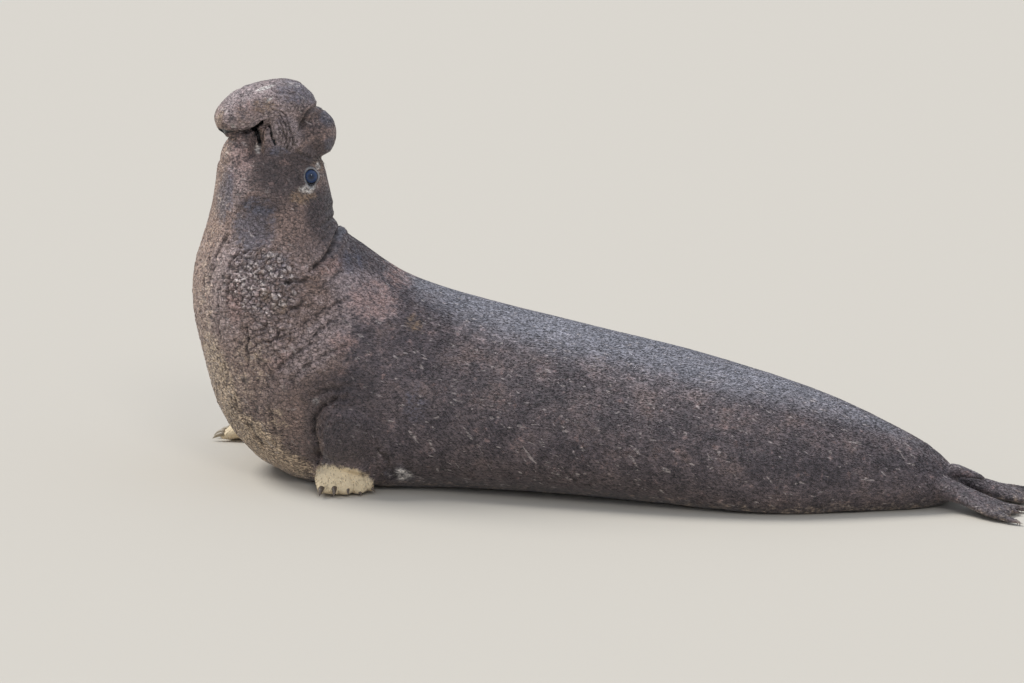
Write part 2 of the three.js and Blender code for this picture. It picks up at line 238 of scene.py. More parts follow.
def spread(values, ends, strength, rounds):
    """Spreads values, a row for each vertex, over the mesh."""
    count = len(values)
    both = np.concatenate([ends, ends[:, ::-1]])
    shared = np.maximum(np.bincount(both[:, 0], minlength=count), 1)[:, None]
    step = np.broadcast_to(np.asarray(strength, float).reshape(-1, 1), (count, 1))
    for _ in range(rounds):
        near = [np.bincount(both[:, 0], column[both[:, 1]], count) for column in values.T]
        values = values + step * (np.stack(near, 1) / shared - values)
    return values


def edge_lengths(points, ends):
    """The mean length of the edges at each vertex."""
    long = np.linalg.norm(points[ends[:, 0]] - points[ends[:, 1]], axis=1)
    both = np.concatenate([ends[:, 0], ends[:, 1]])
    total = np.bincount(both, np.tile(long, 2), len(points))
    return total / np.maximum(np.bincount(both, minlength=len(points)), 1)


def ramp(value, low, high):
    """A soft step from 0 at low to 1 at high."""
    share = np.clip((value - low) / (high - low), 0, 1)
    return share * share * (3 - 2 * share)


# %% [markdown]
# ## Where the limbs are
# The flippers and the tail are placed by hand on the bent seal, so the straight seal's left and right
# say nothing about them. A vertex is on a limb where it lies close to one of the limbs' own solids,
# and a search tree finds that quickly. Its share is then spread a little, so that no edge shows.

# %% Where the limbs are
LIMBS = [node for node in FLESH if "flipper" in node] + ["tail"]
REACH = 0.010


def limb_shares(points, ends, rounds):
    """For each limb, 1 on it and 0 off it."""
    shares = {}
    for node in LIMBS:
        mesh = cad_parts[node].data
        corners = [vert.co for vert in mesh.vertices]
        tree = BVHTree.FromPolygons(corners, [tuple(face.vertices) for face in mesh.polygons])
        low, high = (np.array(corner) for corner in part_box(node))
        share = np.zeros(len(points))
        for index in np.flatnonzero(np.all((points > low - REACH) & (points < high + REACH), 1)):
            share[index] = tree.find_nearest(points[index], REACH)[0] is not None
        shares[node] = spread(share[:, None], ends, 1.0, rounds)[:, 0]
    return shares


points = places(skin)
ends = read(skin.data.edges, "vertices", 2)
on_limb = sum(limb_shares(points, ends, 2).values())
print("the limbs hold", int(on_limb.sum()), "vertices")

# %% [markdown]
# ## Fine on the face, coarse on the flank
# Decimate brings the skin to about 126,000 triangles. The skin may have just under 200,000 triangles.
# Spread evenly they would be wasted on the smooth flank. Decimate takes a vertex group that says how
# dear an edge is: the mouth, the lids and the warty shield on the throat are kept whole, the face
# nearly so, and the rear may have large triangles.

# %% Fine on the face, coarse on the flank
TRIANGLES = 126_000
DEAR = {"rear": 0.10, "chest": 0.62, "shield": 1.0, "limbs": 0.60, "neck": 0.75, "head": 0.85}
GROUP_STEPS = 50
GROUP_FACTOR = 100
NECK_TOP = {"heights": (1.27, 1.37), "lengths": (-0.70, -0.78)}
SHIELD_PLACE = ((262, 292), (52, 74))
MOUTH_PLACE = ((272, 130), (26, 28))
MOUTH_OUT = 0.05
LIDS = {"reach": 0.055, "half": 0.022}

straight = straighten(points)
seen = in_photo(straight)


def patch(centre, half, tilt=0.0, soft=0.35):
    """1 inside an ellipse on the seal's side, drawn on the photo and tilted clockwise, and 0 outside."""
    turn = math.radians(tilt)
    across, down = (seen - np.array(centre)).T
    along = (across * math.cos(turn) + down * math.sin(turn)) / half[0]
    over = (down * math.cos(turn) - across * math.sin(turn)) / half[1]
    return 1 - ramp(np.hypot(along, over), 1 - soft, 1 + soft)


def from_eyes(points):
    both = [np.linalg.norm(points - np.array(centre), axis=1) for centre in eye_centres.values()]
    return np.minimum(*both)


on_head = ramp(straight[:, 2], *NECK_TOP["heights"]) * ramp(straight[:, 0], *NECK_TOP["lengths"])
dear = np.full(len(points), DEAR["rear"])
dear += (DEAR["chest"] - DEAR["rear"]) * ramp(straight[:, 0], -0.20, -0.55)
dear += (DEAR["shield"] - DEAR["chest"]) * patch(*SHIELD_PLACE)
dear += (DEAR["limbs"] - dear) * np.clip(on_limb, 0, 1)
dear += (DEAR["neck"] - dear) * on_head
dear += (DEAR["head"] - dear) * ramp(straight[:, 2], 1.30, 1.42) * on_head
kept = patch(*MOUTH_PLACE) * (np.abs(straight[:, 1]) > MOUTH_OUT) > 0.5
kept |= np.abs(from_eyes(points) - LIDS["reach"]) < LIDS["half"]
dear[kept] = 1.0
group = skin.vertex_groups.new(name="dear")
steps = np.round(dear * GROUP_STEPS).astype(int)
for number in range(GROUP_STEPS + 1):
    group.add(np.flatnonzero(steps == number).tolist(), number / GROUP_STEPS, "REPLACE")
thin = skin.modifiers.new("thin", "DECIMATE")
thin.ratio = TRIANGLES / (2 * len(skin.data.polygons))
thin.vertex_group = "dear"
thin.invert_vertex_group = True
thin.vertex_group_factor = GROUP_FACTOR
finished(skin)
skin.vertex_groups.clear()


def triangles(piece):
    return sum(len(face.vertices) - 2 for face in piece.data.polygons)


print("the skin has", triangles(skin), "triangles")

# %% [markdown]
# ## Finer squares at the eyes and the mouth
# A lid's edge and the slits at the corner of the mouth are only a few millimetres wide. Subdivide
# splits the edges near them once, and once more right at the lids and the slits. Only the outer
# surface is split, as nothing shows of the gullet and the sockets.

# %% Finer squares at the eyes and the mouth
MOUTH_CORNER = (263, 134)
SPLIT_OUT = {"mouth": 0.055, "eye": 0.160}
# How far from the eyes' middles, and half the width and height at the mouth, in pixels.
SPLITS = [(0.060, (16, 18)), (0.045, (7, 11))]


def split_edges(piece, chosen):
    shape = bmesh.new()
    shape.from_mesh(piece.data)
    shape.verts.ensure_lookup_table()
    picked = [e for e in shape.edges if chosen[e.verts[0].index] and chosen[e.verts[1].index]]
    bmesh.ops.subdivide_edges(shape, edges=picked, cuts=1, use_grid_fill=True)
    bmesh.ops.triangulate(shape, faces=[face for face in shape.faces if len(face.verts) > 4])
    shape.to_mesh(piece.data)
    shape.free()
    piece.data.shade_smooth()


for reach, half in SPLITS:
    points = places(skin)
    seen = in_photo(straighten(points))
    off_middle = np.abs(straighten(points)[:, 1])
    chosen = (from_eyes(points) < reach) & (off_middle > SPLIT_OUT["eye"])
    chosen |= patch(MOUTH_CORNER, half) * (off_middle > SPLIT_OUT["mouth"]) > 0.5
    split_edges(skin, chosen)
print("now it has", triangles(skin), "triangles")

# %% [markdown]
# ## Rounding the body
# The solids are made of flat facets, about 8 cm wide on the body and 3 cm on the head. Smoothing by
# neighbours spreads over a distance that grows with the edges' length and the root of the number of
# rounds, so each vertex gets the strength that rounds its own facets and no more.

# %% Rounding the body
COAT_DEPTH = 0.0025
ROUNDS = 40
ROUNDING = {"body": 0.034, "head": 0.0095, "arms": 0.024, "limbs": 0.0065, "eyes": 0.004}
ARM_SWELL = 0.011
FLOOR_CLEARANCE = 0.0004
HEAD = {"heights": (1.18, 1.36), "lengths": (-0.66, -0.78)}
EYE_AREA = (0.045, 0.075)

ends = read(skin.data.edges, "vertices", 2)
points = places(skin)
straight = straighten(points)
limbs = limb_shares(points, ends, 3)
on_limb = np.clip(sum(limbs.values()), 0, 1)
on_head = ramp(straight[:, 2], *HEAD["heights"]) * ramp(straight[:, 0], *HEAD["lengths"])
distance = ROUNDING["body"] + (ROUNDING["head"] - ROUNDING["body"]) * on_head
distance += (ROUNDING["limbs"] - distance) * on_limb
arms = np.clip(limbs["fore_flipper_left"] + limbs["fore_flipper_right"], 0, 1)
distance += (ROUNDING["arms"] - distance) * arms
distance += (ROUNDING["eyes"] - distance) * (1 - ramp(from_eyes(points), *EYE_AREA))
strength = 2 * distance ** 2 / (ROUNDS * edge_lengths(points, ends) ** 2)
points = spread(points, ends, np.minimum(strength, 1.0), ROUNDS)
put_places(skin, points)


def settle(points):
    """Keeps the skin on the floor."""
    points[:, 2] = np.maximum(points[:, 2], FLOOR_CLEARANCE)
    put_places(skin, points)
    return points


points = settle(points + (ARM_SWELL * arms - COAT_DEPTH)[:, None] * normals(skin))
print("rounded to", [[round(v, 3) for v in corner] for corner in (points.min(0), points.max(0))])

# %% [markdown]
# ## The mouth and the nostrils
# The mouth is open under the trunk: a dark gap behind the jaw, a smooth column of lip, and a second
# narrow gap before the whisker pad. Each is pressed in towards the middle of the head, not along the
# surface, so that its rim stays where the photo shows it.

# %% The mouth and the nostrils
PRESSES = [
    # name, line in the photo, half width in pixels, depth
    ("gape top", [(261, 124.5), (258.5, 128)], 2.3, 0.045),
    ("gape", [(257.6, 129), (257.4, 133.5)], 4.4, 0.060),
    ("gape end", [(258.4, 134), (259.4, 139), (260.6, 144)], 2.4, 0.045),
    ("inner slit", [(270, 125.5), (271, 129), (272, 133)], 1.7, 0.024),
    ("inner slit end", [(272, 133), (273.4, 139), (275.6, 145)], 2.5, 0.024),
    ("nostril", [(219, 130.5), (226, 131.5), (233, 130.5)], 2.2, 0.018),
]
PRESS_EDGE = (0.45, 1.25)
LEFT_AT_MIDDLE = 0.012
MARKS = {}


def distance_to(line, seen):
    """How many pixels each seen point is from a line through the given pixels."""
    nearest = np.full(len(seen), 1e9)
    for first, second in zip(line, line[1:]):
        start, step = np.array(first, float), np.array(second, float) - first
        share = np.clip((seen - start) @ step / (step @ step), 0, 1)
        away = np.linalg.norm(seen - start - share[:, None] * step, axis=1)
        nearest = np.minimum(nearest, away)
    return nearest


straight = straighten(points)
seen = in_photo(straight)
deepest = np.zeros(len(points))
# The mouth marking paints near-black shade into the pressed gaps and the nostril.
MARKS["mouth"] = np.zeros(len(points))
for _, line, half, depth in PRESSES:
    inside = 1 - ramp(distance_to(line, seen), PRESS_EDGE[0] * half, PRESS_EDGE[1] * half)
    deepest = np.maximum(deepest, depth * inside)
    MARKS["mouth"] = np.maximum(MARKS["mouth"], inside)
side = straight[:, 1]
least = np.minimum(np.abs(side), LEFT_AT_MIDDLE)
pressed = np.sign(side) * np.maximum(np.abs(side) - deepest, least)
straight[:, 1] = np.where(deepest > 0, pressed, side)
points = settle(bend(straight))
print(len(PRESSES), "openings pressed in")

# %% [markdown]
# ## Lids
# Each eye looks out through an opening that is taller than it is wide and comes to a point at the
# tear duct. Inside the opening the skin passes behind the eyeball. Outside it the skin is lifted just
# clear of the eyeball, with a soft rim, and a shallow fold runs round the lids.

# %% Lids
EYE_AXIS = (-0.1, 0.97, 0.2)
OPENING = (0.0262, 0.0335)
LID_THICK = 0.0046
LID_GAP = 0.0010
LID_REACH = 0.08
LID_FOLD = {"at": 1.62, "width": 0.16, "depth": 0.0028}
TEAR = {"long": 0.30, "sharp": 8}
SOCKET_DEPTH = 0.05
TINY = 1e-9

MARKS["lid"] = np.zeros(len(points))
MARKS["rim"] = np.zeros(len(points))
normal = normals(skin)
for side, sign in (("left", -1), ("right", 1)):
    axis = Vector((EYE_AXIS[0], sign * EYE_AXIS[1], EYE_AXIS[2])).normalized()
    axis.rotate(Matrix.Rotation(BEND_ANGLE, 3, "Z"))
    across = axis.cross(Vector((0, 0, 1))).normalized()
    over = np.array(across.cross(axis))
    off = points - np.array(eye_centres[side])
    out = off @ np.array(axis)
    wide, tall = off @ np.array(across), off @ over
    ring = np.hypot(wide, tall)
    rim = 1 / np.hypot(wide / (ring * OPENING[0] + TINY), tall / (ring * OPENING[1] + TINY))
    rim = rim * (1 + TEAR["long"] * np.clip(-tall / (ring + TINY), 0, 1) ** TEAR["sharp"])
    share = ring / rim
    far = np.linalg.norm(off, axis=1)
    near = (out > 0) & (far < LID_REACH)
    behind = near & (share < 1) & (far < SOCKET_DEPTH)
    lifted = EYE_RADIUS + LID_GAP + LID_THICK * ramp(share, 1.0, 1.28)
    ahead = near & (share >= 1) & (far < lifted)
    wanted = np.where(behind, SOCKET_RADIUS, np.where(ahead, lifted, far))
    points += off * (wanted / np.maximum(far, 1e-6) - 1)[:, None]
    fold = np.exp(-(((share - LID_FOLD["at"]) / LID_FOLD["width"]) ** 2)) * near
    points -= LID_FOLD["depth"] * fold[:, None] * normal
    lid = near * ramp(share, 1.04, 1.12) * (1 - ramp(share, 1.20, 1.42))
    MARKS["lid"] = np.maximum(MARKS["lid"], lid)
    MARKS["rim"] = np.maximum(MARKS["rim"], near * (1 - ramp(share, 1.02, 1.12)))
put_places(skin, points)
print("lids over", int((MARKS["lid"] > 0.5).sum()), "vertices")

# %% [markdown]
# ## Swellings
# The solids leave out a few soft swellings: the chin under the trunk, the pad of whiskers, the fat
# over the shoulder. Each is an ellipse on the photo inside which the skin rises. The corner of the
# hand's solid is too square, so it sinks there.

# %% Swellings
SWELLINGS = [
    # name, height in millimetres, centre, half sizes and tilt in the photo
    ("chin", 16, (228, 153), (10, 17), 10),
    ("throat", 9, (220, 172), (10, 20), 10),
    ("whisker pad", 8, (284, 131), (13, 20), 0),
    ("trunk side", 6, (238, 113), (17, 14), 0),
    ("rear lobe", 5, (325, 129), (9, 18), 0),
    ("cheek", 5, (285, 178), (20, 20), 0),
    ("arm", 10, (352, 408), (26, 14), -12),
    ("hand corner", -20, (316, 462), (9, 9), 0),
    ("thumb", 9, (316, 482), (8, 9), 0),
    ("heel", 8, (352, 446), (22, 14), 0),
]

seen = in_photo(straighten(points))
raised = sum(height / 1000 * patch(centre, half, tilt, 0.8)
             for _, height, centre, half, tilt in SWELLINGS)
points = settle(points + raised[:, None] * normals(skin))
print(len(SWELLINGS), "swellings")

# %% [markdown]
# ## Hands
# A fore flipper ends in five toes that are webbed to near their tips. The webs are grooves between
# the toes, whose places come from the claws. The skin swells where it grips the root of each claw.

# %% Hands
TOE_GROOVE = {"width": 0.0075, "depth": 0.0085, "long": 0.085}
CUTICLE = {"reach": 0.020, "height": 0.009, "core": 0.006, "back": 0.012}
HAND_HEIGHTS = (0.10, 0.15)
NUMBERS = range(1, 6)

for side in ("left", "right"):
    claws = np.array([sum(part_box(f"claw_{side}_{number}"), Vector()) / 2 for number in NUMBERS])
    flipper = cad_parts["fore_flipper_" + side].data
    middle = np.array([vert.co for vert in flipper.vertices]).mean(0)
    onward = claws.mean(0) - middle
    onward[2] = 0
    onward /= np.linalg.norm(onward)
    across = np.array([-onward[1], onward[0], 0])
    normal = normals(skin)
    sunk = np.zeros(len(points))
    for first, second in zip(claws, claws[1:]):
        off = points - (first + second) / 2
        along = off @ onward
        reach = ramp(along, -TOE_GROOVE["long"], -0.3 * TOE_GROOVE["long"])
        sunk = np.maximum(sunk, reach * np.exp(-((off @ across / TOE_GROOVE["width"]) ** 2)))
    gripped = np.zeros(len(points))
    for claw in claws:
        near = np.linalg.norm(points - claw + CUTICLE["back"] * onward, axis=1)
        gripped = np.maximum(gripped, 1 - ramp(near, CUTICLE["core"], CUTICLE["reach"]))
    hand = limbs["fore_flipper_" + side] * (1 - ramp(points[:, 2], *HAND_HEIGHTS))
    lift = hand * (CUTICLE["height"] * gripped - TOE_GROOVE["depth"] * sunk)
    points = points + lift[:, None] * normal
points = settle(points)
print("ten toes")

# %% [markdown]
# ## Folds drawn on the photo
# A fold is a line on the seal's side with a width and a depth. The skin sinks along it and swells a
# little beside it, as loose hide does, and the fold fades out towards its ends. How deep each place
# lies is kept as a marking, which paints shade into the creases.

# %% Folds drawn on the photo
SINGLE_FOLDS = [
    # name, width and depth in millimetres, line in the photo
    ("nape", 14, 20, [(341, 226), (337, 236), (333, 247), (328, 254), (319, 264), (311, 271)]),
    ("nape upper", 9, 5, [(330, 236), (322, 240), (317, 247)]),
    ("shield top", 6, 6, [(250, 250), (243, 255), (239, 262)]),
    ("neck roll", 8, 8, [(279, 281), (290, 282), (303, 281), (311, 279)]),
    ("neck roll end", 7, 6, [(309, 281), (316, 282), (321, 280)]),
    ("nape long", 9, 6, [(346, 270), (336, 275), (330, 280), (324, 285), (316, 289)]),
    ("roll below", 7, 5, [(299, 289), (305, 286), (311, 285)]),
    ("shield back", 8, 7, [(302, 291), (303, 301), (297, 307), (288, 311), (280, 316)]),
    ("shoulder first", 8, 7, [(352, 297), (338, 303), (324, 309), (313, 316), (305, 322), (299, 331)]),
    ("shoulder second", 8, 7, [(345, 312), (330, 322), (319, 330), (309, 340), (302, 347)]),
    ("shoulder third", 9, 9, [(322, 338), (308, 346), (297, 353), (287, 361), (277, 369), (268, 378)]),
    ("shoulder fourth", 9, 7, [(350, 345), (330, 352), (312, 362), (298, 374), (288, 386)]),
    ("throat crack", 7, 7, [(248, 322), (248, 335), (247.5, 350), (248.5, 364)]),
    ("cell top", 6, 6, [(260, 331), (266, 325), (275, 322)]),
    ("cell side", 6, 6, [(275, 322), (278, 330), (277, 338)]),
    ("cell bottom", 6, 6, [(262, 340), (270, 342), (277, 338), (287, 335), (296, 331)]),
    ("throat second", 5, 4.5, [(229, 262), (229, 280), (228, 296), (230, 312)]),
    ("throat slant", 6, 6, [(241, 247), (236, 255), (230, 263), (226, 272)]),
    ("throat long", 6, 6, [(229, 234), (221, 246), (216, 257), (212, 270), (209, 284)]),
    ("throat edge", 5, 5, [(211, 254), (207, 266), (204, 280), (203, 296)]),
    ("throat low", 5, 5, [(219, 290), (219, 310), (219, 330), (221, 345)]),
    ("arm outer", 12, 17, [(347, 398), (336, 400), (327, 404), (320, 410), (314.5, 418),
                           (313.5, 428), (316, 439), (318.5, 449), (319.5, 460)]),
    ("arm inner", 9, 11, [(346, 411), (337, 413), (328, 417), (323, 424), (321.5, 434), (322.5, 443)]),
    ("arm upper", 14, 8, [(350, 387), (335, 389), (323, 391), (314, 397)]),
    ("arm foot", 9, 8, [(320, 452), (319, 462), (320, 468)]),
    ("elbow first", 8, 8, [(370, 443), (378, 450), (384, 459), (387, 469), (387, 481)]),
    ("elbow second", 7, 7, [(373, 439), (383, 448), (388, 458), (391, 470), (393, 481)]),
    ("elbow third", 6, 5, [(368, 452), (376, 460), (381, 470), (382, 480)]),
    ("armpit first", 7, 6, [(392, 466), (395, 474), (399, 481)]),
    ("armpit level", 7, 6, [(397, 459), (406, 463), (416, 464)]),
    ("armpit lower", 7, 5, [(398, 467), (408, 469), (420, 468), (432, 469)]),
    ("armpit lowest", 7, 5, [(408, 472), (422, 473), (436, 471), (448, 466)]),
    ("belly slant", 6, 4, [(390, 428), (397, 436), (403, 443), (406, 448)]),
    ("trunk root", 11, 10, [(317, 106), (311, 110), (306, 116), (302, 124), (299, 134)]),
    ("trunk top first", 6, 3, [(272, 105), (278, 107.5), (284, 107)]),
    ("trunk top second", 6, 3, [(284, 102), (289, 106), (292, 109)]),
    ("trunk under", 10, 15, [(231, 133.5), (239, 132.5), (248, 131.5), (256, 127)]),
    ("trunk corner", 8, 9, [(254, 128), (258, 124.8), (263, 121.8), (268.5, 120.6)]),
    ("nostril notch", 6, 6, [(231, 127), (235, 126), (239, 128.5)]),
    ("trunk waist", 12, 5, [(243, 92), (240, 100), (241, 109), (246, 117)]),
    ("trunk fold", 9, 4, [(258, 97), (256, 104), (259, 111), (264, 116)]),
    ("trunk ridge", 8, 4, [(272, 90), (279, 93), (290, 93), (300, 96)]),
    ("lobe fold", 8, 4, [(322, 112), (317, 121), (313, 132), (312, 143)]),
    ("lobe second", 7, 3, [(330, 121), (326, 129), (323, 139)]),
    ("cheek fold", 8, 4, [(300, 134), (297, 143), (290, 151)]),
    ("eye fold", 8, 4, [(299, 172), (300, 184), (304, 193), (311, 198)]),
    ("nape crown", 9, 5, [(333, 205), (327, 212), (318, 217)]),
    ("nape second", 9, 4, [(334, 216), (327, 223), (316, 229)]),
    ("jaw corner", 9, 3, [(261, 148), (262, 154), (260, 160)]),
    ("cheek", 9, 4, [(249, 196), (246, 203), (240, 208)]),
    ("under lobe", 9, 5, [(330, 154), (322, 158), (312, 158), (302, 155), (294, 150)]),
    ("brow", 6, 4, [(317, 160), (321, 166), (323, 174)]),
    ("chest low first", 8, 6, [(245, 420), (253, 432), (259, 441), (266, 450)]),
    ("chest low second", 7, 6, [(267, 404), (272, 416), (275, 430), (276, 446)]),
    ("chest low third", 7, 5, [(232, 396), (238, 408), (246, 420)]),
]
print(len(SINGLE_FOLDS), "single folds")

# %% [markdown]
# ## Wrinkles of the whisker pad
# The whisker pad is drawn up beside the open mouth, and its wrinkles follow the strain: they are arcs
# round the inner slit, from above it over and down behind it. A function makes them all from their
# radii in pixels, each a little wavy, with the outer ones reaching further forwards.

# %% Wrinkles of the whisker pad
PAD_CENTRE = (268, 138)
PAD_RADII = [7.5 + 2.4 * number for number in range(8)]
PAD_TALL = 1.25
PAD_TURNS = {"first": 62, "for each pixel": 3.4, "last": 122, "steps": 10}
PAD_WAVE = 0.045
PAD_FOLD = {"width": 4.8, "depth": 5.4}


def pad_arc(radius):
    first = PAD_TURNS["first"] - PAD_TURNS["for each pixel"] * (radius - PAD_RADII[0])
    turns = np.radians(np.linspace(first, PAD_TURNS["last"], PAD_TURNS["steps"]))
    reach = radius * (1 + PAD_WAVE * np.sin(6 * turns + 1.7 * radius))
    return [(PAD_CENTRE[0] + r * math.sin(t), PAD_CENTRE[1] - PAD_TALL * r * math.cos(t))
            for t, r in zip(turns, reach)]


pad_folds = [("pad", PAD_FOLD["width"], PAD_FOLD["depth"], pad_arc(radius)) for radius in PAD_RADII]
print(len(pad_folds), "wrinkles on the pad")

# %% [markdown]
# ## Sinking the folds
# A real fold is never a clean groove. Its line strays a little from the drawn one, less on the taut
# head, its strength comes and goes along it, and the skin beside it stands up in a low roll.

# %% Sinking the folds
FOLD_DEPTH = 1.7
FOLD_WIDTH = 0.90
SWELL = 0.38
SWELL_AT = 2.0
END_FADE = 6.0
END_SHARE = 0.25
UNEVEN = 0.30
MARGIN = 14
FULL_CREASE = 7


def wobble(seen):
    """How far, in pixels, a fold's line strays from the smooth one."""
    across, down = seen.T
    stray_across = 0.7 * np.sin(0.34 * down + 0.21 * across + 1.3)
    stray_across += 0.2 * np.sin(1.15 * down - 0.5 * across)
    stray_down = 0.7 * np.sin(0.38 * across - 0.19 * down)
    stray_down += 0.2 * np.sin(1.2 * across + 0.4 * down + 2.0)
    below_head = 0.2 + 0.8 * ramp(down, 200, 240)
    return np.stack([stray_across, stray_down], 1) * below_head[:, None]


def fold_rise(line, width, depth, seen):
    """How far the skin rises for one fold, and how much of the fold each vertex has."""
    low, high = np.min(line, 0) - MARGIN, np.max(line, 0) + MARGIN
    chosen = np.flatnonzero(np.all((seen > low) & (seen < high), 1))
    close = seen[chosen]
    away = distance_to(line, close + wobble(close)) * PIXEL / (FOLD_WIDTH * width)
    from_ends = np.minimum(*[np.linalg.norm(close - line[end], axis=1) for end in (0, -1)])
    uneven = 0.5 + 0.5 * np.sin(0.35 * close[:, 0] - 0.52 * close[:, 1])
    strength = END_SHARE + (1 - END_SHARE) * ramp(from_ends, 0, END_FADE)
    strength *= 1 - UNEVEN * uneven
    sunk = np.exp(-away ** 2) * strength
    rise = depth * (SWELL * np.exp(-((away - SWELL_AT) ** 2)) * strength - sunk)
    return chosen, rise, sunk


seen = in_photo(straighten(points))
rise = np.zeros(len(points))
crease_shade = np.zeros(len(points))
for _, width, depth, line in SINGLE_FOLDS + pad_folds:
    chosen, lift, sunk = fold_rise(line, width / 1000, FOLD_DEPTH * depth / 1000, seen)
    rise[chosen] += lift
    crease_shade[chosen] = np.maximum(crease_shade[chosen], sunk * min(1, depth / FULL_CREASE))
free = 1 - arms
rise, crease_shade = rise * (0.3 + 0.7 * free), crease_shade * (0.5 + 0.5 * free)
points = settle(points + rise[:, None] * normals(skin))
# The crease marking paints shade along the folds, darker where they are deeper.
MARKS["crease_shade"] = crease_shade
print("folds up to", round(float(-rise.min() * 1000), 1), "mm deep")

# %% [markdown]
# ## The shield of warts
# Years of fights turn a bull's throat into a shield of thick warts, and below it into plates with
# cracks between them. Both are cells round scattered middles: a vertex rises by how far it lies from
# the line between its two nearest middles, and each cell has its own height.

# %% The shield of warts
CELLS = [
    # name, where, spacing, height, groove, and how worn the tops are
    ("warts", ((264, 284), (38, 37), 0), 0.030, 0.0085, 0.0060, 1.0),
    ("plates", ((272, 334), (36, 26), -20), 0.054, 0.0045, 0.0075, 0.45),
    ("neck plates", ((222, 285), (26, 62), 8), 0.040, 0.0022, 0.0030, 0.45),
    ("chest plates", ((246, 385), (36, 46), 20), 0.036, 0.0030, 0.0035, 0.45),
]
CELL_EDGE = 0.0065
CELL_HEIGHTS = (0.25, 1.0)
CELL_GROOVE_SHADE = 0.8
random = np.random.default_rng(7)


def spaced(candidates, spacing):
    """Some of the places, none closer to another than the spacing."""
    taken, cells = [], set()
    for index in random.permutation(len(candidates)):
        cell = tuple(np.floor(candidates[index] / spacing).astype(int))
        if cell not in cells:
            cells.add(cell)
            taken.append(index)
    return candidates[taken]


def raise_cells(area, spacing, height, groove):
    """How far each vertex rises, how near the top of a cell it is, and how many cells there are."""
    share = patch(*area) * free
    chosen = np.flatnonzero(share > 0.01)
    middles = spaced(points[chosen], spacing)
    tree = KDTree(len(middles))
    for index, middle in enumerate(middles):
        tree.insert(middle, index)
    tree.balance()
    tall = random.uniform(*CELL_HEIGHTS, len(middles))
    made = np.zeros((len(chosen), 2))
    for row, vertex in enumerate(chosen):
        (_, first, near), (_, _, next_near) = tree.find_n(points[vertex], 2)
        inside = min(1.0, (next_near - near) / (2 * CELL_EDGE))
        dome = inside * (2 - inside)
        made[row] = height * tall[first] * dome - groove * (1 - dome), dome * tall[first]
    lift = np.zeros(len(points))
    lift[chosen] = made[:, 0] * share[chosen]
    worn = np.zeros(len(points))
    worn[chosen] = made[:, 1] * share[chosen]
    return lift, worn, len(middles)


seen = in_photo(straighten(points))
lift = np.zeros(len(points))
MARKS["wart"] = np.zeros(len(points))
for name, area, spacing, height, groove, wear in CELLS:
    rise, worn, count = raise_cells(area, spacing, height, groove)
    lift += rise
    MARKS["wart"] = np.maximum(MARKS["wart"], worn * wear)
    # The grooves between the cells also get painted shade in the crease marking.
    MARKS["crease_shade"] = np.maximum(MARKS["crease_shade"], np.clip(-rise / groove, 0, 1) * CELL_GROOVE_SHADE)
    print(count, name)
points = settle(points + lift[:, None] * normals(skin))

# %% [markdown]
# ## Loose hide
# Between the folds the hide isn't smooth: it hangs in long, shallow rolls over the shoulder, the
# flank has broad hollows, and the throat has fine upright pleats. These are sums of a few waves whose
# lines are bent by slower waves, so that they never look ruled.

# %% Loose hide
PLEATS = {"spacing": 0.030, "height": 0.0024, "bend": 1.3}
ROLLS = {"spacing": 0.085, "height": 0.0035, "bend": 0.5}
HOLLOW_DEPTH = 0.0028
THROAT_RADIUS = 0.32
THROAT_MIDDLE = -1.0


def waves(along, other, spacing, bend_by):
    """Waves across one direction, whose lines wander along the other, between -1 and 1."""
    wander = np.sin(other * 9.1 + 0.7) + 0.6 * np.sin(other * 23.0 + 2.1)
    wander += 0.4 * np.sin(other * 41.0 + along * 6)
    phase = 2 * math.pi * along / spacing + 3 * bend_by * wander
    return 0.7 * np.sin(phase) + 0.3 * np.sin(1.73 * phase + 1.3)


straight = straighten(points)
seen = in_photo(straight)
tilted = 0.75 * straight[:, 2] + 0.66 * straight[:, 0]
rolls = waves(tilted, straight[:, 2] - straight[:, 0], ROLLS["spacing"], ROLLS["bend"])
rolls *= patch((318, 330), (62, 78), 30, 0.5) * free * ROLLS["height"]
round_throat = np.arctan2(straight[:, 1], THROAT_MIDDLE - straight[:, 0]) * THROAT_RADIUS
pleats = waves(round_throat, straight[:, 2], PLEATS["spacing"], PLEATS["bend"])
pleated = np.maximum(patch((214, 275), (24, 75), 8, 0.5), patch((232, 185), (22, 40), 12, 0.5))
pleats *= pleated
pleats *= PLEATS["height"] * (0.5 + 0.5 * np.sin(straight[:, 2] * 17.0 + 5 * straight[:, 1]))
slow = np.sin(straight[:, 0] * 7.0 + straight[:, 2] * 5.0)
slow *= np.sin(straight[:, 2] * 11.0 + straight[:, 1] * 6.0 + 1.0)
hollows = HOLLOW_DEPTH * slow * ramp(straight[:, 2], 0.10, 0.30) * (1 - on_head) * (1 - on_limb)
points = settle(points + (rolls + pleats + hollows)[:, None] * normals(skin))
print("rolls up to", round(float(np.abs(rolls).max() * 1000), 1), "mm")
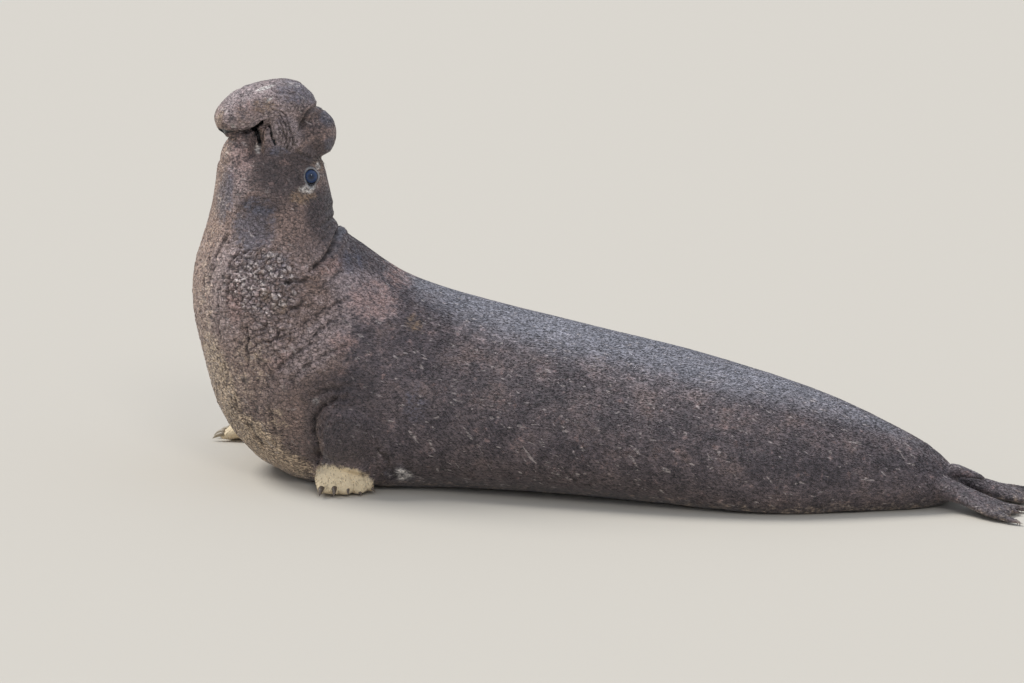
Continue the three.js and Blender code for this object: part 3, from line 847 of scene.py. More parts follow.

# %% [markdown]
# ## Markings
# The hide's colours are wet and dry sand, old scars, worn fur and bare skin, with painted shade and a
# painted sky sheen among them. Each is a number from 0 to 1 at every vertex, drawn as soft ellipses on
# the photo, so that the skin and the fur over it can share them. Fine mottling comes later, in the
# material, from noise.

# %% Markings
PATCHES = {
    # marking: (centre, half sizes, tilt, strength)
    # Dark is partly darker hide and partly painted shade under the rear lobe and the trunk, round the arm and
    # on the lower belly.
    "dark": [((322, 214), (17, 26), 0, 0.9), ((282, 176), (30, 26), 0, 0.75), ((262, 205), (26, 10), 0, 0.7),
             ((338, 392), (48, 24), 0, 0.7), ((345, 432), (40, 34), 0, 0.75), ((316, 420), (14, 40), 0, 0.7),
             ((300, 160), (30, 9), 0, 0.8), ((318, 150), (14, 9), 0, 0.6), ((284, 396), (26, 30), 20, 0.35),
             ((250, 140), (7, 9), 0, 0.4), ((310, 245), (26, 14), 0, 0.35),
             ((470, 395), (60, 36), 8, 0.3), ((620, 420), (130, 30), 8, 0.25)],
    "blue": [((254, 226), (20, 26), 12, 0.85), ((328, 117), (8, 9), 0, 0.9), ((330, 145), (6, 8), 0, 0.7),
             ((297, 92), (22, 12), 10, 0.7), ((225, 196), (8, 26), 8, 0.8), ((277, 151), (12, 5), 0, 0.7),
             ((352, 262), (14, 12), 30, 0.6), ((415, 405), (12, 16), 0, 0.5), ((265, 262), (30, 12), 0, 0.4),
             ((400, 474), (15, 9), 0, 1.0)],
    "pink": [((235, 303), (8, 20), 0, 1.0), ((331, 266), (12, 8), -20, 0.9), ((372, 300), (26, 20), 0, 0.7),
             ((398, 278), (14, 9), 30, 0.6), ((342, 344), (16, 12), 0, 0.5), ((264, 296), (9, 9), 0, 0.5),
             ((246, 112), (20, 14), 0, 0.3), ((240, 160), (12, 26), 0, 0.5), ((276, 362), (22, 9), -30, 0.4)],
    # The small pale patch by the nostril is a painted highlight, and the thin upright one on the front edge
    # of the chin is partly a painted rim light.
    "pale": [((307, 189), (9, 5), -15, 0.62), ((318, 166), (3, 4), 0, 0.6), ((258, 148), (4, 6), 0, 0.5),
             ((402, 474), (12, 6), 0, 0.6), ((316, 401), (4, 4), 40, 0.5),
             ((233, 125.5), (2.4, 1.2), 20, 0.8), ((266, 87.5), (10, 1.6), -18, 0.9),
             ((265, 83.5), (7, 1.3), -14, 0.85), ((270, 99), (5, 1.3), -40, 0.7),
             ((294, 83), (16, 4), 0, 0.35), ((226, 150), (3, 14), 14, 0.35)],
    "worn": [((316, 345), (54, 22), -45, 0.75), ((258, 104), (44, 24), -6, 0.9),
             ((290, 92), (30, 14), 12, 0.9), ((284, 131), (17, 22), 0, 1.0), ((362, 292), (40, 24), 30, 0.85),
             ((318, 330), (40, 40), 0, 0.4), ((236, 180), (14, 40), 8, 0.5),
             ((300, 262), (40, 20), -20, 0.4), ((470, 330), (70, 14), 14, 0.3),
             ((640, 380), (80, 14), 14, 0.3), ((230, 290), (30, 62), 8, 0.6)],
    "ochre": [((302, 196), (13, 8), 0, 0.8), ((318, 165), (8, 7), 0, 0.6), ((266, 296), (7, 6), 0, 0.8),
              ((280, 306), (9, 9), 0, 0.6), ((414, 323), (9, 9), 0, 0.6), ((264, 106), (12, 8), 0, 0.5),
              ((219, 112), (5, 16), 10, 0.8), ((240, 116), (9, 9), 0, 0.3)],
    "sand": [((224, 388), (12, 60), -18, 0.8), ((256, 438), (44, 14), 42, 0.9),
             ((288, 464), (32, 12), 28, 0.8), ((248, 372), (24, 40), 10, 0.35),
             ((205, 300), (9, 60), 0, 0.35), ((272, 425), (18, 22), 0, 0.35)],
}
ON_HAND = 0.15
NEARBY = 0.01


def patches(name):
    """All the ellipses of one marking."""
    total = np.zeros(len(points))
    for centre, half, tilt, strength in PATCHES[name]:
        total = np.maximum(total, strength * patch(centre, half, tilt, 0.5))
    return total


straight = straighten(points)
seen = in_photo(straight)
normal = normals(skin)
forwards = -(straighten(points + NEARBY * normal) - straight)[:, 0] / NEARBY
up, height = normal[:, 2], points[:, 2]
body_free = 1 - on_limb
for name in PATCHES:
    MARKS[name] = patches(name) * np.where(free > 0.5, 1.0, ON_HAND)
off_middle = ramp(np.abs(straight[:, 1]), 0.02, 0.07)
MARKS["pale"] *= off_middle
MARKS["ochre"] *= off_middle

near_hand = np.maximum(patch((340, 482), (38, 15), 12, 0.4), 1 - ramp(height, 0, 0.03))
far_hand = 1 - ramp(height, 0.07, 0.13)
low_hand = limbs["fore_flipper_left"] * near_hand + limbs["fore_flipper_right"] * far_hand
low_hand = np.clip(low_hand, 0, 1)
# The forward-facing rim of the neck and chest is painted paler: partly sand, partly a painted rim light.
front_rim_light_and_sand = ramp(forwards, 0.55, 0.95) * ramp(straight[:, 2], 0.02, 0.1) * (straight[:, 0] < -0.9)
low_flank = (1 - ramp(height, 0.0, 0.10)) * (straight[:, 0] > -0.6)
MARKS["sand"] = np.maximum.reduce([MARKS["sand"], low_hand, 0.25 * front_rim_light_and_sand, 0.35 * low_flank])
MARKS["tan_and_rim_light"] = front_rim_light_and_sand
MARKS["dark"] = np.maximum(MARKS["dark"], arms * ramp(height, 0.12, 0.18) * 0.7)
# Painted sky reflection: the top of the back, where the skin faces up, gets a pale bluish grey sheen.
MARKS["back"] = ramp(up, 0.84, 1.0) * ramp(straight[:, 0], -0.95, -0.60) * body_free
# Painted shade: the body's skin is darker where it faces down.
MARKS["underside_shade"] = ramp(-up, 0.0, 0.6) * body_free * (1 - on_head)
MARKS["chest"] = np.maximum(patch((258, 330), (82, 150), 0, 0.4), on_head * 0.5) * free
MARKS["face"] = on_head
MARKS["hand"] = low_hand
shield = [patch((264, 284), (36, 36), 0, 0.4), 0.6 * patch((272, 336), (34, 30), -20, 0.5),
          0.35 * patch((250, 350), (46, 100), 12, 0.4)]
MARKS["shield"] = np.maximum.reduce(shield) * free


def put_marking(mesh, name, values):
    attribute = mesh.attributes.new(name, "FLOAT", "POINT")
    attribute.data.foreach_set("value", values.astype(np.float32))


for name, values in MARKS.items():
    MARKS[name] = np.clip(values, 0, 1)
    put_marking(skin.data, name, MARKS[name])
print(len(MARKS), "markings:", ", ".join(MARKS))

# %% [markdown]
# ## Wiring materials
# A procedural material is a web of nodes. Wires that can be added and multiplied like numbers keep
# its maths readable, and one method makes every other node.

# %% Wiring materials


def colour(code):
    """A colour as a painter reads it, such as 6b5f57, in the linear light that Blender uses."""
    parts = [int(code[start:start + 2], 16) / 255 for start in (0, 2, 4)]
    linear = [part / 12.92 if part <= 0.04045 else ((part + 0.055) / 1.055) ** 2.4 for part in parts]
    return linear + [1.0]


class Wire:
    """A socket that does arithmetic."""

    def __init__(self, finish, socket):
        self.finish, self.socket = finish, socket

    def maths(self, operation, first, second):
        return self.finish.wire("ShaderNodeMath", {"operation": operation}, {0: first, 1: second})

    def __add__(self, other):
        return self.maths("ADD", self, other)

    def __sub__(self, other):
        return self.maths("SUBTRACT", self, other)

    def __rsub__(self, other):
        return self.maths("SUBTRACT", other, self)

    def __mul__(self, other):
        return self.maths("MULTIPLY", self, other)

    __radd__, __rmul__ = __add__, __mul__

    def larger(self, other):
        return self.maths("MAXIMUM", self, other)

    def between(self, low, high):
        """A soft step from 0 at low to 1 at high."""
        settings = {"interpolation_type": "SMOOTHSTEP"}
        sockets = {"Value": self, "From Min": low, "From Max": high}
        return self.finish.wire("ShaderNodeMapRange", settings, sockets)


class Finish:
    """A material and the nodes in it."""

    def __init__(self, name):
        self.material = bpy.data.materials.new(name)
        self.material.use_nodes = True
        self.tree = self.material.node_tree
        self.tree.nodes.clear()

    def add(self, kind, settings=None, sockets=None):
        node = self.tree.nodes.new(kind)
        for key, value in (settings or {}).items():
            setattr(node, key, value)
        for key, value in (sockets or {}).items():
            if isinstance(value, Wire):
                self.tree.links.new(value.socket, node.inputs[key])
            else:
                node.inputs[key].default_value = value
        return node

    def wire(self, kind, settings=None, sockets=None, output=0):
        return Wire(self, self.add(kind, settings, sockets).outputs[output])

    def place(self, stretch=(1, 1, 1), turn=(0, 0, 0)):
        """The place on the object, in metres, turned and then stretched."""
        here = self.wire("ShaderNodeTexCoord", output="Object")
        sockets = {"Vector": here, "Scale": stretch, "Rotation": turn}
        return self.wire("ShaderNodeMapping", {"vector_type": "TEXTURE"}, sockets)

    def noise(self, place, scale, detail=2.0, rough=0.5):
        sockets = {"Vector": place, "Scale": scale, "Detail": detail, "Roughness": rough}
        return self.wire("ShaderNodeTexNoise", None, sockets)

    def cells(self, place, scale, feature="F1", output=0):
        sockets = {"Vector": place, "Scale": scale}
        return self.wire("ShaderNodeTexVoronoi", {"feature": feature}, sockets, output)

    def wandering(self, place, scale, reach):
        """A place pushed about by noise, so that lines drawn on it aren't ruled."""
        push = self.wire("ShaderNodeTexNoise", None, {"Vector": place, "Scale": scale}, output=1)
        push = self.wire("ShaderNodeVectorMath", {"operation": "SCALE"}, {0: push, "Scale": reach})
        return self.wire("ShaderNodeVectorMath", {"operation": "ADD"}, {0: place, 1: push})

    def scratches(self, stretch, turn, scale, threshold):
        """Short, thin, wavy marks along one direction."""
        place = self.wandering(self.place(stretch, turn), 14.0, 0.030)
        return self.noise(place, scale, 1.0, 0.4).between(threshold, threshold + 0.03)

    def marking(self, name):
        return self.wire("ShaderNodeAttribute", {"attribute_name": name}, output="Fac")

    def mix(self, mask, first, second, blend="MIX"):
        sockets = {0: mask, 6: first, 7: second}
        return self.wire("ShaderNodeMix", {"data_type": "RGBA", "blend_type": blend}, sockets, output=2)

    def surface(self, sockets, heights=()):
        """The shader, with one bump for each height and its distance in metres."""
        bump = None
        for height, distance in heights:
            links = {"Height": height, "Distance": distance, "Strength": 1.0}
            if bump is not None:
                links["Normal"] = bump
            bump = self.wire("ShaderNodeBump", None, links)
        if bump is not None:
            sockets = {**sockets, "Normal": bump}
        shader = self.wire("ShaderNodeBsdfPrincipled", None, sockets)
        self.add("ShaderNodeOutputMaterial", None, {"Surface": shader})
        return self.material


# %% [markdown]
# ## The hide's colours
# One function paints both the skin and the fur. It starts from the dark grey-brown of the flank and
# lays each marking over it with an edge broken up by noise, among them painted shade on the underside
# and a painted sky sheen on the back. Noise at three sizes then mottles it, and what isn't fur comes
# last: scars, sandy hands, painted shade in the creases and cracks, lids and painted shade in the mouth.

# %% The hide's colours
# Of these tones, crease and mouth are painted shade, under is painted shade on the underside, back is a
# painted sky sheen, tan is partly a painted rim light, and dark is partly painted shade.
HIDE = {
    "deep": "443b3d", "flank": "5c5050", "brown": "6b5850", "dark": "3f3535", "worn": "968684",
    "chest": "816b61", "tan_and_rim_light": "957a6a", "blue": "4b4d59", "pink": "967a72", "pale": "c3bcb4",
    "ochre": "7f6851", "sand": "8b7663", "dry sand": "b5a187", "back": "86868d", "underside_shade": "4b403e",
    "hand": "e6d1ab", "mouth": "120c0b", "wart": "d8cac2", "crease_shade": "2a201e", "lid": "9a9b9c",
    "rim": "12141d", "scar": "c2b5ae",
}
TONES = {name: colour(code) for name, code in HIDE.items()}


def paint_hide(finish):
    """The hide's colour, and the mottling, grain and cracks that its bump uses too."""
    here = finish.place()
    fur = finish.place((1.8, 1.0, 0.75))
    cloud = finish.noise(here, 6.5, 5.0, 0.65)
    blotch = finish.noise(here, 24.0, 4.0, 0.6)
    mottle = finish.noise(fur, 88.0, 3.0, 0.7)
    grain = finish.noise(fur, 210.0, 2.0, 0.6)
    ragged = blotch + mottle * 0.5 - 0.75
    loose = finish.wandering(here, 34.0, 0.020)
    cracks = 1.0 - finish.cells(loose, 40.0, "DISTANCE_TO_EDGE").between(0.0, 0.09)
    knob = 1.0 - finish.cells(loose, 40.0).between(0.10, 0.62)
    pale_knob = finish.cells(loose, 40.0, output=1).between(0.30, 0.65) * knob
    shield = finish.marking("shield") * blotch.between(0.30, 0.52)

    def laid(mark, softness=1.0):
        """A marking whose edge is broken up."""
        mask = finish.marking(mark)
        return (mask + mask * (1.0 - mask) * ragged * (5.0 * softness)).between(0.10, 0.90)

    def layered(tone, layers):
        """A tone with a colour over it for each mask."""
        for name, mask in layers:
            tone = finish.mix(mask, tone, TONES[name])
        return tone

    tone = finish.mix(cloud.between(0.36, 0.62), TONES["deep"], TONES["flank"])
    tone = layered(tone, [
        ("brown", cloud.between(0.52, 0.70) * 0.5),
        ("chest", laid("chest")),
        # Partly a painted rim light on the front edge.
        ("tan_and_rim_light", finish.marking("tan_and_rim_light") * 0.7),
        ("worn", (laid("worn") * 0.8).larger(shield * 0.85)),
        ("pink", laid("pink", 1.5) * 0.70),
        # Darker hide, partly painted shade under overhangs, round the arm and on the lower belly.
        ("dark", laid("dark") * 0.85),
        ("blue", laid("blue", 2.4) * 0.66),
        ("ochre", laid("ochre", 1.5) * 0.75),
        # Painted shade on the underside.
        ("underside_shade", finish.marking("underside_shade") * 0.7),
        ("pink", blotch.between(0.60, 0.72) * 0.35),
        # Painted sky sheen on the top of the back.
        ("back", finish.marking("back") * 0.75),
    ])
    sand = finish.mix(mottle.between(0.38, 0.62), TONES["sand"], TONES["dry sand"])
    tone = finish.mix(laid("sand", 1.3) * 0.85, tone, sand)
    tone = layered(tone, [
        ("wart", pale_knob * shield.between(0.4, 1.0) * grain.between(0.2, 0.5)),
        ("wart", finish.marking("wart").between(0.5, 1.0) * 0.42),
        ("pale", laid("pale", 1.5) * 0.85),
    ])
    light = mottle.between(0.36, 0.66) * 1.05 + grain.between(0.36, 0.64) * 0.70
    light = light + blotch.between(0.3, 0.7) * 0.40 + 0.08
    tone = finish.mix(1.0, tone, light, "MULTIPLY")
    clear = 1.0 - finish.marking("dark") * 0.85
    nick = finish.scratches((3.2, 1.3, 1.0), (0.1, 0.25, 0.2), 60.0, 0.690)
    cut = finish.scratches((5.0, 1.0, 1.0), (0.4, 0.9, 0.3), 48.0, 0.705)
    bare = (laid("chest") * 0.55).larger(finish.marking("face") * 0.35).larger(shield)
    tone = layered(tone, [
        ("scar", nick.larger(cut) * mottle.between(0.35, 0.6) * clear * 0.60),
        ("hand", laid("hand") * 0.90),
        # Painted shade: the fine cracks and the folds' creases are darkened.
        ("crease_shade", cracks * bare * 0.50),
        ("crease_shade", finish.marking("crease_shade").between(0.15, 0.85) * 0.78),
        ("lid", finish.marking("lid") * (blotch.between(0.3, 0.6) * 0.5 + 0.3)),
        ("rim", finish.marking("rim")),
        # Painted shade in the mouth's gaps and the nostril.
        ("mouth", finish.marking("mouth").between(0.25, 0.75)),
    ])
    return tone, mottle, grain, cracks * bare, knob * shield


# %% [markdown]
# ## The skin's finish
# The bump has three sizes: short fur, which is grain stretched along the body, a web of fine cracks
# and knobs on the throat and face, where the fur is worn away, and grit where sand sticks.

# %% The skin's finish
hide = Finish("hide")
tone, mottle, grain, cracks, knobs = paint_hide(hide)
grit = hide.noise(hide.place(), 260.0, 3.0, 0.7) * hide.marking("sand")
pebbles = 1.0 - hide.cells(hide.place(), 130.0, "F1").between(0.1, 0.9)
skin_height = mottle * 0.8 + grain * 0.6 + pebbles * hide.marking("chest") * 0.3 + grit * 0.6
wetness = hide.marking("mouth").larger(hide.marking("rim")).larger(hide.marking("lid") * 0.5)
rough = 0.60 - wetness * 0.35 + hide.marking("sand") * 0.25 - hide.marking("back") * 0.08
skin_look = {"Base Color": tone, "Roughness": rough, "Sheen Weight": 0.15, "Sheen Roughness": 0.5}
hide.surface(skin_look, [(knobs - cracks, 0.0060), (skin_height, 0.0034)])
skin.data.materials.clear()
skin.data.materials.append(hide.material)
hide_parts(*FLESH)
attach(skin, "root")
print("the hide has", len(hide.tree.nodes), "nodes")

# %% [markdown]
# ## Fur in tufts
# A bull's coat is short and lies flat, so the skin's bump carries most of it. Where light grazes the
# back and along the outline it needs real tufts. Particle hair would be lost when the model is
# exported, so each tuft is a thin closed sliver of seven corners whose root is sunk in the skin. It
# lies backwards along the body, and takes its markings from the place where it grows.

# %% Fur in tufts
TUFT = np.array([(0, -0.42, -1.1), (0, 0.42, -1.1), (0, 0, 0.3), (0.45, -0.5, 0.5), (0.45, 0.5, 0.5),
                 (0.45, 0, 1.6), (1, 0, 1.0)])
TUFT_FACES = [(0, 2, 1), (0, 1, 4, 3), (1, 2, 5, 4), (2, 0, 3, 5), (3, 4, 6), (4, 5, 6), (5, 3, 6)]
UV_PATCH = 0.003
COAT_MARKS = [name for name in MARKS if name not in ("mouth", "lid", "rim")]
DROOP = 0.35
RUFFLE = 0.16
SIZES = (0.7, 1.3)

skin.data.calc_loop_triangles()
corners = read(skin.data.loop_triangles, "vertices", 3)
points = places(skin)
normal = normals(skin)
straight = straighten(points)
first, second, third = points[corners].transpose(1, 0, 2)
areas = np.linalg.norm(np.cross(second - first, third - first), axis=1) / 2


def lie_of(roots, up, limb):
    """Which way the fur lies: to the tail and a little down, or along a limb to its tip."""
    spine = straighten(roots)
    aft = bend(spine + (NEARBY, 0, 0)) - roots
    aft /= np.linalg.norm(aft, axis=1)[:, None]
    lie = aft + (0, 0, -DROOP)
    raised = ramp(spine[:, 2], 0.9, 1.3)[:, None] * ramp(spine[:, 0], -0.6, -0.75)[:, None]
    lie = lie * (1 - raised) + raised * (0.35 * aft + (0, 0, -1.0))
    lie = lie * (1 - limb[:, None]) + limb[:, None] * (0, 0, -1.0)
    lie -= (lie * up).sum(1)[:, None] * up
    lie += RUFFLE * random.standard_normal(lie.shape) * np.linalg.norm(lie, axis=1)[:, None]
    lie -= (lie * up).sum(1)[:, None] * up
    return lie / np.maximum(np.linalg.norm(lie, axis=1), 1e-6)[:, None]


def coat(name, share, count, long, wide, high, unwrap):
    """A piece of coat: count tufts over the skin, as thick as each vertex's share says."""
    weights = areas * share[corners].mean(1)
    chosen = random.choice(len(corners), count, p=weights / weights.sum())
    mix = random.dirichlet((1, 1, 1), count)
    at = corners[chosen]
    roots = (points[at] * mix[:, :, None]).sum(1)
    up = (normal[at] * mix[:, :, None]).sum(1)
    up /= np.linalg.norm(up, axis=1)[:, None]
    lie = lie_of(roots, up, (on_limb[at] * mix).sum(1))
    side = np.cross(up, lie)
    size = random.uniform(*SIZES, count)
    frames = np.stack([lie * (long * size)[:, None], side * (wide * size)[:, None], up * high], 1)
    spots = roots[:, None] + np.einsum("vk,nkc->nvc", TUFT, frames)
    spots[:, :, 2] = np.maximum(spots[:, :, 2], FLOOR_CLEARANCE)
    faces = [tuple(len(TUFT) * tuft + corner for corner in face)
             for tuft in range(count) for face in TUFT_FACES]
    mesh = bpy.data.meshes.new(name)
    mesh.from_pydata(spots.reshape(-1, 3).tolist(), [], faces)
    mesh.shade_smooth()
    for mark in COAT_MARKS:
        put_marking(mesh, mark, np.repeat((MARKS[mark][at] * mix).sum(1), len(TUFT)))
    put_marking(mesh, "tint", np.repeat(random.uniform(0, 1, count), len(TUFT)))
    flat = np.repeat(unwrap(roots), len(TUFT), 0) + np.tile(TUFT[:, :2] * UV_PATCH, (count, 1))
    loops = read(mesh.loops, "vertex_index", 1)[:, 0]
    uv = mesh.uv_layers.new(name="OFBake")
    uv.data.foreach_set("uv", flat[loops].astype(np.float32).ravel())
    piece = bpy.data.objects.new(name, mesh)
    bpy.context.scene.collection.objects.link(piece)
    piece.data.materials.append(fur.material)
    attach(piece, "root")
    return piece


# %% [markdown]
# ## The fur's finish
# The fur wears the skin's own colours. Each tuft is a little lighter or darker than its neighbours,
# which gives the salt-and-pepper look of a dry coat.

# %% The fur's finish
fur = Finish("fur")
fur_tone = paint_hide(fur)[0]
tint = fur.marking("tint")
fur_tone = fur.mix(1.0, fur_tone, tint * tint * 0.9 + 0.62, "MULTIPLY")
fur.surface({"Base Color": fur_tone, "Roughness": 0.6, "Sheen Weight": 0.1, "Sheen Roughness": 0.5})
print("the fur has", len(fur.tree.nodes), "nodes")

# %% [markdown]
# ## Laying the coat
# Each piece of the coat stays under 200,000 triangles. Its UV map unrolls the body like a label from
# a bottle: across is the way along the spine and up is the angle around it, so every tuft gets a
# small patch of its own. The raised neck and head are unrolled about an upright line instead.

# %% Laying the coat
TUFTS = 19_000
FLIPPER_TUFTS = 9_000
# Where one piece of the coat gives way to the next, along the spine, and in height for the head.
PARTINGS = {"hips": (1.05, 1.10), "loin": (0.38, 0.43), "ribs": (-0.30, -0.25), "head": (1.10, 1.14)}
BALD_UNDERNEATH = (0.35, 0.75)
HEAD_AXIS = -1.06
HEAD_SPAN = (0.2, 1.75)


def unrolled(low, high, centre_z=0.45):
    """Unrolls the body between two places along its spine."""
    def unwrap(roots):
        spine = straighten(roots)
        across = (spine[:, 0] - low) / (high - low)
        around = np.arctan2(spine[:, 1], spine[:, 2] - centre_z) / (2 * math.pi) + 0.5
        return np.clip(np.stack([across, around], 1), 0, 1 - UV_PATCH)
    return unwrap


def unrolled_upright(roots):
    """Unrolls the raised neck and head, whose length runs up and whose turn is about an upright."""
    spine = straighten(roots)
    upwards = (spine[:, 2] - HEAD_SPAN[0]) / HEAD_SPAN[1]
    around = np.arctan2(spine[:, 1], spine[:, 0] - HEAD_AXIS) / (2 * math.pi) + 0.5
    return np.clip(np.stack([around, upwards], 1), 0, 1 - UV_PATCH)


away_from_eyes = ramp(from_eyes(points), 0.050, 0.075)
past = {name: ramp(straight[:, 0], *ends_at) for name, ends_at in PARTINGS.items()}
past["head"] = ramp(straight[:, 2], *PARTINGS["head"])
bald = np.maximum.reduce([MARKS["mouth"], MARKS["wart"] * 0.9, MARKS["crease_shade"] * 0.8, MARKS["hand"]])
furred = (1 - bald) * away_from_eyes * (1 - ramp(-normal[:, 2], *BALD_UNDERNEATH)) * body_free
shoulders = furred * (1 - past["ribs"]) * (1 - past["head"])
shoulders *= 1 - 0.7 * MARKS["chest"]
flippers = (1 - MARKS["hand"] * 0.6) * on_limb * (1 - ramp(-normal[:, 2], 0.2, 0.6))
COATS = [
    # name, where, how many tufts, their length, width and height, and the unwrap
    ("hips", furred * past["hips"], TUFTS, 0.015, 0.0040, 0.0013, unrolled(1.0, 2.3, 0.2)),
    ("loin", furred * (1 - past["hips"]) * past["loin"], TUFTS, 0.015, 0.0040, 0.0013,
     unrolled(0.35, 1.12, 0.3)),
    ("ribs", furred * (1 - past["loin"]) * past["ribs"], TUFTS, 0.014, 0.0038, 0.0013,
     unrolled(-0.33, 0.46, 0.4)),
    ("shoulders", shoulders, TUFTS, 0.013, 0.0036, 0.0012, unrolled(-1.5, -0.2, 0.5)),
    ("head", furred * past["head"], TUFTS, 0.008, 0.0026, 0.0008, unrolled_upright),
    ("flippers", flippers, FLIPPER_TUFTS, 0.012, 0.0040, 0.0010, unrolled(-1.5, 2.6, 0.1)),
]
coats = [coat("coat_" + name, *how) for name, *how in COATS]
print("the coat has", sum(triangles(piece) for piece in coats), "triangles")

# %% [markdown]
# ## The eyes
# A seal's eye is a large dark globe. From outside it is a soft dark pupil in a deep blue iris, under
# a clear, wet front that bulges a little. One closed ball with a coat of gloss does that, because
# nothing behind the gloss can be seen.

# %% The eyes
IRIS_REACH = 0.0300
PUPIL_REACH = 0.0140
CORNEA_RISE = 0.0018
EYE_COLOURS = {"dark iris": "1a2740", "light iris": "3a5076", "globe": "1b1d26", "pupil": "0a0f1c"}
GLOSS = {"Roughness": 0.3, "Specular IOR Level": 0.0, "Coat Weight": 1.0, "Coat Roughness": 0.03}

eye_tones = {name: colour(code) for name, code in EYE_COLOURS.items()}
for side, sign in (("left", -1), ("right", 1)):
    axis = Vector((EYE_AXIS[0], sign * EYE_AXIS[1], EYE_AXIS[2])).normalized()
    axis.rotate(Matrix.Rotation(BEND_ANGLE, 3, "Z"))
    turn = axis.to_track_quat("Z", "Y").to_matrix().to_4x4()
    ball = bmesh.new()
    bmesh.ops.create_uvsphere(ball, u_segments=64, v_segments=40, radius=EYE_RADIUS)
    for vert in ball.verts:
        out = math.hypot(vert.co.x, vert.co.y)
        if vert.co.z > 0:
            vert.co.z += CORNEA_RISE * float(ramp(IRIS_REACH - out, 0, IRIS_REACH))
    bmesh.ops.transform(ball, matrix=Matrix.Translation(eye_centres[side]) @ turn, verts=ball.verts)
    eye = new_piece("eyeball_" + side, ball)
    finish = Finish("eye " + side)
    here = finish.wire("ShaderNodeTexCoord", output="Object")
    pupil_at = eye_centres[side] + EYE_RADIUS * axis
    away = finish.wire("ShaderNodeVectorMath", {"operation": "DISTANCE"}, {0: here, 1: pupil_at}, 1)
    threads = finish.noise(here, 260.0, 3.0, 0.6)
    tone = finish.mix(threads, eye_tones["dark iris"], eye_tones["light iris"])
    tone = finish.mix(away.between(IRIS_REACH, IRIS_REACH * 1.15), tone, eye_tones["globe"])
    in_pupil = away.between(PUPIL_REACH * 1.7, PUPIL_REACH * 0.3) * 0.9
    tone = finish.mix(in_pupil, tone, eye_tones["pupil"])
    finish.surface({"Base Color": tone, **GLOSS})
    eye.data.materials.append(finish.material)
    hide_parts("eye_" + side)
    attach(eye, "root")
print("two eyes of", round(EYE_RADIUS * 2000), "mm")

# %% [markdown]
# ## The claws
# The solids' claws are plain stubs. The horn of a real one is a curved cone, flattened below and worn
# at the tip. Each is a row of circles along an arc, bridged into one surface, at its solid's place:
# its root is sunk deeper in the toe, and its tip is shorter than the solid's, as walking wears it.

# %% The claws
CLAW_SECTIONS = 12
CLAW_SIDES = 14
CLAW_FILL = 1.15
CLAW_SHOWN = 0.62
CLAW_SUNK = 0.45
CLAW_ARCH = 0.10
CLAW_FLATNESS = 0.9
CLAW_TIP = 0.06


def claw_along(node):
    """The claw's root and tip, from the corners of its solid."""
    corners = np.array([vert.co for vert in node.data.vertices])
    middle = corners.mean(0)
    _, _, lines = np.linalg.svd(corners - middle)
    share = (corners - middle) @ lines[0]
    ends_at = corners[share.argmin()], corners[share.argmax()]
    tip, root = sorted(ends_at, key=lambda corner: corner[2])
    thick = np.abs((corners - middle) @ lines[1]).max()
    return Vector(root), Vector(tip), float(thick)


CLAW_COLOURS = {"left": ("3a3029", "6f5f50"), "right": ("7d6f5b", "b5a68b")}
claw_finishes = {}
for side, (dark, pale) in CLAW_COLOURS.items():
    finish = Finish("claw horn " + side)
    here = finish.place((1, 1, 0.5))
    streaks = finish.noise(here, 420.0, 3.0, 0.6)
    worn_tip = finish.noise(here, 120.0, 2.0, 0.5)
    horn = finish.mix(streaks.between(0.35, 0.7), colour(dark), colour(pale))
    horn = finish.mix(worn_tip.between(0.5, 0.75) * 0.6, horn, colour("8b7c66"))
    claw_finishes[side] = finish.surface({"Base Color": horn, "Roughness": 0.38}, [(streaks, 0.0006)])

for side in ("left", "right"):
    for number in NUMBERS:
        name = f"claw_{side}_{number}"
        root, tip, thick = claw_along(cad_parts[name])
        root, tip = root.lerp(tip, -CLAW_SUNK), root.lerp(tip, CLAW_SHOWN)
        along = tip - root
        across = along.cross(Vector((0, 0, 1))).normalized()
        over = across.cross(along).normalized()
        turn = Matrix((across, over * CLAW_FLATNESS, along.normalized())).transposed().to_4x4()
        horn_shape = bmesh.new()
        for step in range(CLAW_SECTIONS + 1):
            share = step / CLAW_SECTIONS
            size = CLAW_FILL * thick * max(CLAW_TIP, (1 - share ** 1.6) ** 0.8)
            arch = CLAW_ARCH * along.length * math.sin(math.pi * share)
            place = Matrix.Translation(root + along * share + over * arch) @ turn
            bmesh.ops.create_circle(horn_shape, segments=CLAW_SIDES, radius=size, matrix=place)
        bmesh.ops.bridge_loops(horn_shape, edges=horn_shape.edges[:])
        bmesh.ops.holes_fill(horn_shape, edges=[e for e in horn_shape.edges if e.is_boundary])
        bmesh.ops.recalc_face_normals(horn_shape, faces=horn_shape.faces)
        for vert in horn_shape.verts:
            vert.co.z = max(vert.co.z, FLOOR_CLEARANCE)
        claw = new_piece(name + "_horn", horn_shape)
        claw.data.materials.append(claw_finishes[side])
        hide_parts(name)
        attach(claw, "root")
print("ten claws")

# %% [markdown]
# ## Whiskers
# A bull's whiskers are short and thick. They stand in rows on the pads at the sides of the mouth,
# with a few over each eye. Each is a thin cone, bent down and back, whose root is sunk in the skin.

# %% Whiskers
WHISKER_ROWS = 5
WHISKERS_A_ROW = 6
WHISKER = {"long": 0.085, "thick": 0.0011, "taper": 0.15, "sunk": 0.002}
SHORTER = 0.09
BROW_SHARE = 0.55
STRAY = 0.7
# A vertex of the right side is kept this many pixels apart from the left side's in the search tree.
APART = 200
PAD_PLACE = {"first": (277, 121), "row": (1.2, 5.6), "step": (3.0, 1.2)}
BROW_PLACE = {"first": (309, 158), "step": (3.0, 1.0), "count": 4}
WHISKER_SECTIONS = 7
WHISKER_SIDES = 5

